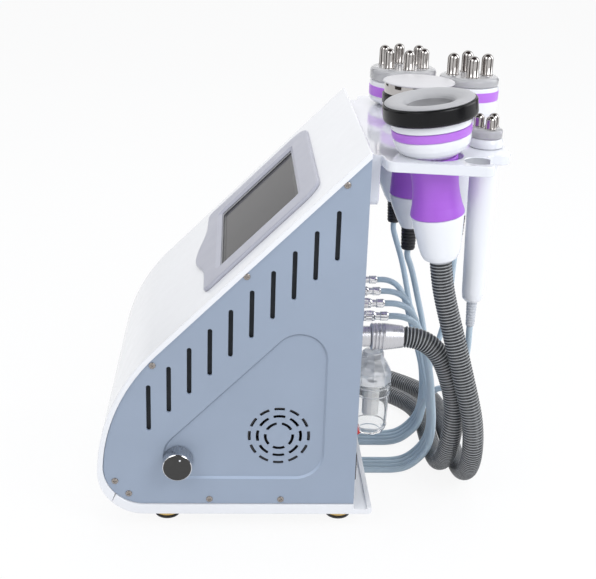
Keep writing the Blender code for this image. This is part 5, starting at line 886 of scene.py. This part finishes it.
def holder():
    right = mm((121, 105.3), (121, 116), (143.5, 118.5), (157, 212), (113.5, 212), (113.5, 235.5))
    half = fillet([*right, (0, right[-1][1])], [0, 0.002, 0.009, 0.008, 0.006, 0.014, 0], closed=False)[:-1]
    outline = half + [(-x, y) for x, y in reversed(half)]
    holes = ((*SUCTION_AT, 0.0268), (*CAVITATION_AT, 0.0231), (*SIX_AT, 0.0231), (-0.057, 0.227, 0.0231),
             (*THREE_AT, 0.0136), (*SPARE_AT, SPARE_RADIUS), (-SPARE_AT[0], SPARE_AT[1], SPARE_RADIUS))
    plate = carve(flat_plate([outline], HOLDER_THICKNESS, 0.0013, 3), *(hole_cutter(*hole) for hole in holes))
    plate.transform(put(0, 0, TOP - HOLDER_THICKNESS / 2))
    flange = fillet(rectangle(-0.121, 0.322, 0.121, 0.3655), [0.009, 0.009, 0, 0])
    leg = flat_plate([flange], 0.01, 0.0012, 3)
    leg.transform(put(0, 0.1103, 0, rotation(90, "X")))
    plate = carve(plate, leg, operation="UNION")
    sheet = add_piece("holder_sheet", plate, ACRYLIC, replaces="holder_plate", weighted=True)
    sheet.data.materials.append(HOLE_WALL)
    spare_x, spare_y = SPARE_AT
    for face in sheet.data.polygons:
        out = hypot(abs(face.center.x) - spare_x, face.center.y - SHIFT.translation.y - spare_y)
        face.material_index = int(out < SPARE_RADIUS + 0.0002 and abs(face.normal.z) < 0.5)
    for i, x in enumerate((-0.095, -0.03, 0.03, 0.095)):
        screw(f"holder_screw_{i}", put(x, 0.1153, 0.338, TO_BACK), CHROME, 1.15)


# Handpieces

SUCTION_TURN = rotation(8.1, "X") @ rotation(1, "Y")
SUCTION_PLACE = put(*SUCTION_AT, TOP + SUCTION_LIFT, SUCTION_TURN)


def poles(name, radius, top, base, circle_radius, count, start, body, place, node_name):
    """Domed electrodes, each in its own small collar."""
    dome = [(radius * sin(a), top - radius * (1 - cos(a))) for a in (radians(k) for k in range(12, 91, 13))]
    collar = [(radius, base + 0.0012), (radius * 1.04, base + 0.0009), (radius * 1.1, base + 0.0007),
              (radius * 1.12, base)]
    form = bmesh.new()
    for i in range(count):
        angle = start + i * 2 * pi / count
        centre = put(circle_radius * sin(angle), circle_radius * cos(angle), 0)
        spin([(0, top), *dome, *collar, (0, base)], 36, form, centre)
    add_piece(name, to_mesh(form), POLE_STEEL, place, node_name, body, 40)


def ribbed_boot(name, top, bottom, first, last, count, mat, body, place):
    """A strain relief: rings that get smaller towards the cable."""
    profile = [(0, top)]
    step = (top - bottom) / count
    for i in range(count):
        radius = first + (last - first) * i / count
        z = top - i * step
        profile += [(radius, z - 0.05 * step), (radius, z - 0.62 * step), (radius * 0.82, z - 0.7 * step),
                    (radius * 0.82, z - 0.97 * step)]
    lathe(name, profile + [(last, bottom), (0, bottom)], mat, "", 32, 0.0002, place, body)


def suction_handpiece():
    turned = partial(lathe, place=SUCTION_PLACE, body="suction_handpiece")
    shell = mm((0, 32.2), (36, 32.2), (36, 25.2), (33, 25.2), (33, 17), (35.2, 17), (35, 13.5), (33.6, 8.6),
               (30.7, 4.5), (27.5, 1.8), (24.5, 0), (19, -2.7), (19, -58.3), (24.6, -58.3), (23.8, -64),
               (21.7, -78), (19.6, -90), (18.2, -96), (16, -100.5), (11.8, -103.5), (0, -103.5))
    turned("suction_shell", shell, HAND_WHITE, "suction_body", 96, 0.0012)
    grip = mm((19.3, -3), (21.5, -3), (22, -4), (21.9, -14), (21.3, -25), (21.2, -32), (21.7, -40),
              (23, -48.2), (24.6, -54.5), (25, -56.7), (24.9, -58), (19.3, -58))
    turned("suction_sleeve", grip, PURPLE, "suction_grip", 96, 0.0008)
    band = mm((33.3, 24.9), (35.7, 24.9), (36.1, 24.5), (36, 20), (35.5, 17.6), (35.2, 17.3), (33.3, 17.3))
    turned("suction_stripe", band, PURPLE_BAND, "suction_band", 96, 0.0003)
    ring = mm((0, 36), (26.5, 36), (38.5, 44), (39.2, 47.6), (41, 48), (42.1, 47.4), (42.5, 46.2),
              (42.5, 35.6), (41.8, 33.8), (40.2, 32.7), (38.5, 32.5), (0, 32.5))
    turned("suction_collar", ring, RING_BLACK, "suction_ring", 96, 0.0006)
    cup = mm((0, 37.5), (6, 37.5), (16.5, 38.2), (19.6, 40.2), (21, 43.4), (22.2, 46.2), (24, 47.8),
             (26.6, 49), (30, 50.1), (33.5, 50.6), (36.5, 50.5), (38.8, 49.9), (40.2, 48.9), (40.4, 48.2),
             (38.8, 47.9), (38.2, 44.2), (26.2, 36.3), (0, 36.3))
    turned("suction_rim", cup, CUP_SILVER, "suction_cup", 120, 0.001)
    floor = mm((2.6, 37.8), (4, 38.6), (15.8, 39), (19.4, 41.2), (20.7, 44.2), (20.4, 44.6), (18.7, 41.8),
               (15.2, 39.8), (4, 39.4), (3, 39.6), (2.2, 38.8))
    turned("suction_liner", floor, CUP_INSIDE, "", 72, 0.0003)


def handle(name, head, core, place, node_name, body):
    """White body: its HEAD over the plate, then the CORE of the grip and the shared tail."""
    tail = mm((21.4, -78), (19, -86), (16, -93), (12.5, -101), (9.5, -106.2), (8.6, -107.5), (0, -107.5))
    lathe(name, head + core + tail, HAND_WHITE, node_name, 96, 0.001, place, body)


def cavitation_handpiece():
    body = "cavitation_handpiece"
    place = put(*CAVITATION_AT, TOP)
    turned = partial(lathe, place=place, body=body)
    head = mm((0, 20.3), (35.2, 20.3), (35.2, 17.8), (32.2, 17.8), (32.2, 7.2), (33.8, 7.2), (33, 5.2),
              (29, 2.4))
    core = mm((22.5, 0.3), (20.3, -2.2), (16, -2.7), (16, -72.3), (22, -72.3))
    handle("cavitation_shell", head, core, place, "cavitation_body", body)
    sleeve = mm((16.3, -3), (19.6, -3), (20.2, -4.2), (20.4, -25), (21.1, -48), (22.3, -69), (22.5, -71.2),
                (22, -72), (16.3, -72))
    turned("cavitation_sleeve", sleeve, PURPLE, "cavitation_grip", 96, 0.0008)
    stripe = mm((32.5, 17.5), (34.9, 17.5), (35.2, 17.2), (35, 11), (34.4, 7.6), (32.5, 7.5))
    turned("cavitation_stripe", stripe, PURPLE_BAND, "cavitation_band", 96, 0.0003)
    collar = mm((0, 30.7), (34.5, 30.7), (35.5, 29.8), (35.5, 21.4), (34.6, 20.6), (0, 20.6))
    turned("cavitation_collar", collar, RING_BLACK, "cavitation_ring", 96, 0.0006)
    drum = mm((0, 41.3), (33.8, 41.3), (33.8, 31), (0, 31))
    turned("cavitation_drum", drum, POLE_STEEL, "cavitation_head", 96, 0.0005)
    face = mm((0, 42.8), (34.5, 42.8), (35.3, 42.3), (35.2, 41.5), (34.2, 41.2), (0, 41.2))
    turned("cavitation_face", face, HEAD_FACE, "", 96, 0.0003)
    ribbed_boot("cavitation_boot", -0.1073, -0.131, 0.0082, 0.007, 7, DARK, body, place)


def pole_handpiece(kind, at, head, cap, stripe, pole):
    body = f"{kind}_pole_handpiece"
    place = put(*at, TOP)
    turned = partial(lathe, place=place, body=body)
    core = mm((22.5, 0.3), (20.5, -3), (20.6, -25), (21.2, -48), (22.2, -66), (22.4, -72.3))
    handle(f"{kind}_shell", head, core, place, f"{kind}_pole_body", body)
    turned(f"{kind}_cap", cap, CAP_GREY, f"{kind}_pole_cap", 96, 0.002)
    turned(f"{kind}_stripe", stripe, PURPLE_BAND, "", 96, 0.0003)
    ribbed_boot(f"{kind}_boot", -0.1073, -0.131, 0.0082, 0.007, 7, DARK, body, place)
    poles(f"{kind}_poles", *pole, body, place, f"{kind}_pole_electrodes")


def three_pole_handpiece():
    body = "three_pole_handpiece"
    place = put(*THREE_AT, TOP)
    turned = partial(lathe, place=place, body=body)
    shell = mm((0, 8.8), (14.4, 8.8), (15.5, 5), (15.5, 0.3), (13, 0.3), (13, -15), (12.8, -50),
               (11.8, -100), (10.6, -144), (9.8, -150), (7, -153), (0, -153))
    turned("three_shell", shell, HAND_WHITE, "three_pole_body", 72, 0.001)
    cap = mm((0, 18), (11.8, 18), (14, 16.8), (14.4, 15), (14.4, 9.1), (0, 9.1))
    turned("three_cap", cap, CAP_GREY, "three_pole_cap", 72, 0.0012)
    ribbed_boot("three_boot", -0.1528, -0.179, 0.0052, 0.0042, 9, BOOT_PALE, body, place)
    poles("three_poles", 0.0048, 0.0305, 0.018, 0.0082, 3, radians(82), body, place, "three_pole_electrodes")


def handpieces():
    suction_handpiece()
    cavitation_handpiece()
    pole_handpiece("six", SIX_AT,
                   mm((0, 26.2), (33.5, 26.2), (34.5, 25.2), (34.5, 7.2), (33, 5), (28.5, 2.2)),
                   mm((0, 40), (30, 40), (34.2, 38.4), (35, 35.5), (35, 26.5), (0, 26.5)),
                   mm((34, 21.2), (34.9, 21), (35.1, 20.6), (35.1, 11.2), (34.9, 10.8), (34, 10.6)),
                   (0.0055, 0.0608, 0.04, 0.0213, 6, radians(23)))
    pole_handpiece("four", FOUR_AT,
                   mm((0, 32), (29.8, 32), (30.8, 31), (30.6, 18), (29.6, 6), (27.2, 2.5)),
                   mm((0, 41.5), (26.2, 41.5), (29.6, 40.3), (30.3, 37.8), (30.3, 32.3), (0, 32.3)),
                   mm((30, 28), (30.9, 27.8), (31.1, 27.4), (30.9, 18.4), (30.7, 18), (29.8, 17.8)),
                   (0.006, 0.0632, 0.0415, 0.0174, 4, radians(0.5)))
    three_pole_handpiece()


# Free cords: routes as in the CAD source, and where each hanging top bends after its handpiece

HOSE_POINTS = mm((109.7, 182, 242), (109.6, 186.2, 225), (110, 193.2, 201), (111.1, 201.8, 172),
                 (112, 211, 140), (111.8, 218, 115), (110, 222.2, 96), (106.2, 225, 74), (97.4, 226.5, 53),
                 (83.6, 227.2, 35.2), (65.5, 227.5, 22), (44, 227.5, 13.6), (19, 227.5, 10.8),
                 (-15, 227.5, 10.8), (-55, 227.5, 10.8), (-95, 227.4, 10.8), (-117.5, 225.5, 10.8),
                 (-144, 215.5, 10.8), (-167.3, 196.2, 10.8), (-204, 152.6, 10.8), (-240.8, 109, 10.8),
                 (-277.6, 65.3, 10.8), (-314.3, 21.7, 10.8), (-329, -2.1, 10.8), (-335, -35, 10.8),
                 (-328.3, -68.7, 10.8), (-309.2, -97.2, 10.8), (-280.7, -116.3, 10.8), (-247, -123, 10.8),
                 (-213.3, -116.3, 10.8), (-184.8, -97.2, 10.8), (-165.7, -68.7, 10.8), (-159, -35, 10.8),
                 (-159, 15, 10.8), (-159, 66, 10.8), (-159, 116.8, 10.8), (-152.3, 150.5, 10.8),
                 (-133.2, 179, 10.8), (-104.7, 198.1, 10.8), (-71, 204.8, 10.8), (-33, 204.9, 10.8),
                 (-2, 205, 10.8), (24, 205.2, 13.8), (45.3, 205.5, 22.6), (63.5, 206, 36.6),
                 (77.5, 206.4, 54.8), (86.3, 206.8, 76), (90, 206.8, 98.8), (91.5, 204, 121),
                 (92.8, 197.8, 141), (93.8, 188.9, 161.2), (94.5, 178.8, 173.5), (95, 165.3, 181.7))
LANDING = mm((197.5, 50), (192.5, 27), (184, 15.5), (171, 6.2), (155, 3.3))
LEG_YS = (0.115, 0.07, 0.02, -0.03)
# A cable's handpiece, its place, its boot's reach below the plate, its bend, its way down and its way up
CABLES = (
    ("three_pole", THREE_AT, 0.179, mm((66, 216, 135), (91, 236, 165)),
     mm((79.6, 217.2, 177), (76, 217.5, 160), (66, 216, 135), (48, 212, 113), (25, 208.5, 97), (2, 205, 85),
        (-18, 201.5, 68)),
     mm((4, 194.5, 78), (-6, 189.5, 101), (-19, 183, 127), (-31, 176.5, 150), (-41.5, 170, 171),
        (-47.5, 161, 185))),
    ("cavitation", CAVITATION_AT, 0.131, mm((-12.8, 176.5, 199), (-10, 165, 235)),
     mm((-10.2, 167.2, 225), (-11.8, 173.5, 206), (-15.5, 180.5, 180), (-22, 188.5, 150), (-29, 195, 113),
        (-34, 198.5, 80)),
     mm((15.5, 195, 80), (8.5, 188, 112), (1, 181.5, 143), (-7.5, 174.5, 168), (-13, 164, 184.5))),
    ("four_pole", FOUR_AT, 0.131, mm((-55.8, 222.8, 195), (-57, 223.5, 235)),
     mm((-57, 223.7, 225), (-56, 222.8, 200), (-53, 220.5, 160), (-48.8, 212, 120), (-45, 203, 85)),
     mm((24, 195.5, 80), (23.6, 190, 114), (22.5, 183, 144), (21, 175, 168), (20, 164, 184.5))),
    ("six_pole", SIX_AT, 0.131, mm((-99.5, 172.5, 196), (-104, 162, 235)),
     mm((-103.6, 163.4, 225), (-100, 171.5, 200), (-87, 180.5, 160), (-69, 189.5, 118), (-56, 196.5, 82)),
     mm((33.5, 195.5, 80), (40, 190.5, 112), (46, 184, 142), (51, 176, 167), (54.5, 164, 184.5))))


def declare_cord(piece, path, diameter, body, start, end, plug):
    """Bake the cord's place into its mesh."""
    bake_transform(piece)


def resting(path, lowest):
    return [np.array((x, y, max(z, lowest))) for x, y, z in path]


def hose():
    """The ribbed hose; each rib is a row of (share of the pitch, radius)."""
    top = [tuple(SUCTION_PLACE @ Vector((0, 0, -0.1035 - reach))) for reach in (GAP, 0.008)]
    route = top + HOSE_POINTS + [(HOSE_PORT[0], 0.1499, HOSE_PORT[1])]
    ribs = round(length_of(smooth_curve(route, 700)) / 0.0031)
    shape = ((0.00, 0.0104), (0.14, 0.0105), (0.3, 0.0104), (0.44, 0.0096), (0.65, 0.0092), (0.86, 0.0096))
    points = smooth_curve(route, 6 * ribs + 1)
    places = [round((rib + share) / ribs * 6 * ribs) for rib in range(ribs) for share, _ in shape]
    path = resting([points[min(place, 6 * ribs)] for place in places], HOSE_REST)
    radii = [radius for _ in range(ribs) for _, radius in shape]
    sides = 20
    piece = sweep("ribbed_hose", path, radii, sides, HOSE, "vacuum_hose", None, 50)
    piece.data.materials.append(HOSE_RIDGE)
    for face in piece.data.polygons:
        face.material_index = int(face.index >= 2 and (face.index - 2) // sides % len(shape) in (0, 1))
    declare_cord(piece, path[::3], 0.021, "suction_handpiece", (0.1116, 0.218, 0.115),
                 (0.143, 0.2494, 0.1412), "hose_coupling")


def cable(rank, kind, at, boot, bend, drop, rise):
    """A cable from its handpiece down to a flat fold on the table and up to its plug."""
    x, y = at
    z = TOP - boot
    offset = 0.02 + rank * 0.0074
    centre = -0.01
    fold = [radians(30 * k) for k in range(7)]
    route = [(x, y, z - 2 * GAP), (x, y, z - 0.008)] + drop
    route += [(centre - offset, *point) for point in LANDING + [(leg_y, 0.0033) for leg_y in LEG_YS]]
    route += [(centre - offset * cos(angle), -0.058 - offset * sin(angle), 0.0033) for angle in fold]
    route += [(centre + offset, leg_y, 0.0033) for leg_y in reversed(LEG_YS)]
    route += [(centre + offset, *point) for point in reversed(LANDING)] + rise
    route += [(SOCKET_XS[rank], 0.148, SOCKET_HEIGHT), (SOCKET_XS[rank], PLUG_END + GAP, SOCKET_HEIGHT)]
    path = resting(smooth_curve(route, 420), 0.00325)
    name = f"cable_{kind.removesuffix('_pole')}"
    piece = sweep(name, path, [CABLE_RADIUS] * len(path), 14, CABLE, f"cable_{kind}", None)
    declare_cord(piece, path[::2], 2 * CABLE_RADIUS, f"{kind}_handpiece", *bend, f"plug_{rank + 1}")


def cords():
    hose()
    for rank, facts in enumerate(CABLES):
        cable(rank, *facts)


# Stage, lamps and camera

def seen_directly(owner):
    """One for rays from the camera, for reflections and for rays through glass, else zero."""
    rays = node(owner, "LightPath").outputs
    value = rays["Is Camera Ray"]
    for name in ("Is Glossy Ray", "Is Transmission Ray"):
        most = node(owner, "Math")
        most.operation = "MAXIMUM"
        join(owner, (value, most.inputs[0]), (rays[name], most.inputs[1]))
        value = most.outputs[0]
    return value


def mix_into(owner, share, first, second, out):
    mix = node(owner, "MixShader")
    join(owner, (share, mix.inputs[0]), (first.outputs[0], mix.inputs[1]), (second.outputs[0], mix.inputs[2]),
         (mix.outputs[0], out.inputs["Surface"]))


def stage_object(name, mesh, mat, place=Matrix()):
    mesh.materials.append(mat)
    obj = add_object(name, mesh)
    obj.matrix_world = place


def dark_card(name, centre, width, height):
    """A studio card that only reflections meet, so that bright metal gets its dark bands."""
    mat = bpy.data.materials.new(name)
    mat.use_nodes = True
    mat.node_tree.nodes.clear()
    dark = node(mat, "Emission", Color=(0.1, 0.085, 0.08, 1), Strength=0.6)
    glossy = node(mat, "LightPath").outputs["Is Glossy Ray"]
    mix_into(mat, glossy, node(mat, "BsdfTransparent"), dark, node(mat, "OutputMaterial"))
    form = bmesh.new()
    bmesh.ops.create_grid(form, x_segments=1, y_segments=1, size=0.5)
    bmesh.ops.transform(form, matrix=Matrix.Diagonal((width, height, 1, 1)), verts=form.verts)
    facing = (Vector((0, 0, 0.3)) - Vector(centre)).to_track_quat("Z", "Y")
    stage_object(name, to_mesh(form), mat, Matrix.Translation(centre) @ facing.to_matrix().to_4x4())


def backdrop():
    mat = shader("studio_floor", (0.93, 0.935, 0.95), 0.65)
    nodes = mat.node_tree.nodes
    amount = node(mat, "Math")
    amount.operation = "MULTIPLY"
    amount.inputs[1].default_value = 0.9
    join(mat, (seen_directly(mat), amount.inputs[0]))
    glow = node(mat, "Emission", Color=(1, 1, 1, 1))
    mix_into(mat, amount.outputs[0], nodes["Principled BSDF"], glow, nodes["Material Output"])
    form = bmesh.new()
    bmesh.ops.create_circle(form, cap_ends=True, radius=6, segments=64)
    stage_object("studio_floor", to_mesh(form), mat)


def lamp(name, at, size, power, color=(1, 1, 1)):
    """A round lamp that aims at the machine. Reflections don't show the top one."""
    light = bpy.data.lights.new(name, "AREA")
    light.shape = "DISK"
    light.size = size
    light.energy = power
    light.color = color
    holder = add_object(name, light)
    holder.location = at
    holder.rotation_euler = (Vector((0, 0, 0.2)) - Vector(at)).to_track_quat("-Z", "Y").to_euler()
    holder.visible_glossy = name != "top"


def world_light():
    scene = bpy.context.scene
    scene.world = scene.world or bpy.data.worlds.new("studio")
    scene.world.use_nodes = True
    scene.world.node_tree.nodes.clear()
    dim = node(scene.world, "Background", Color=(0.93, 0.96, 1.0, 1), Strength=0.55)
    bright = node(scene.world, "Background", Color=(1, 1, 1, 1), Strength=1.0)
    mix_into(scene.world, seen_directly(scene.world), dim, bright, node(scene.world, "OutputWorld"))


def camera():
    """The photograph's viewpoint, fitted to the casing's outline in it."""
    place = Vector((1.14508, -0.01618, 0.6279))
    yaw, pitch, roll = -0.05973, 0.36021, 0.03399
    focal_pixels = 1187.38
    photo_width = 596
    forward = Vector((-cos(pitch) * cos(yaw), -cos(pitch) * sin(yaw), -sin(pitch)))
    right = Vector((-sin(yaw), cos(yaw), 0))
    up = right.cross(forward)
    across = cos(roll) * right + sin(roll) * up
    over = -sin(roll) * right + cos(roll) * up
    data = bpy.data.cameras.new("photo_view")
    data.sensor_fit = "HORIZONTAL"
    data.sensor_width = 36
    data.lens = focal_pixels / photo_width * data.sensor_width
    data.clip_start = 0.01
    data.clip_end = 50
    holder = add_object("photo_view", data)
    turn = Matrix((across, over, -forward)).transposed()
    holder.matrix_world = SHIFT @ Matrix.Translation(place) @ turn.to_4x4()
    bpy.context.scene.camera = holder
    bpy.context.scene.view_settings.view_transform = "Standard"


camera()
backdrop()
world_light()
dark_card("card_front", (2.4, -0.55, 1.0), 0.55, 2.6)
dark_card("card_right", (0.9, 2.2, 0.9), 1.0, 2.4)
dark_card("card_left", (0.4, -2.4, 0.9), 1.3, 2.4)
dark_card("card_back_right", (-1.7, 1.7, 0.9), 0.9, 2.4)
dark_card("card_back_left", (-1.9, -1.5, 0.9), 0.9, 2.4)
dark_card("card_top", (0.5, 0.1, 2.7), 3.6, 3.6)
lamp("key", (1.5, -1.3, 2.0), 1.6, 15, (1, 0.99, 0.98))
lamp("fill", (0.85, 0.75, 1.0), 0.7, 6, (0.96, 0.98, 1))
lamp("top", (-0.3, 0.0, 2.4), 1.8, 18)
lamp("back", (-0.5, 1.9, 1.2), 1.6, 12, (0.96, 0.98, 1))
casing()
screen()
knob()
feet()
inner_pieces()
cable_connectors()
hose_connector()
filter_unit()
power_side()
holder()
handpieces()
cords()
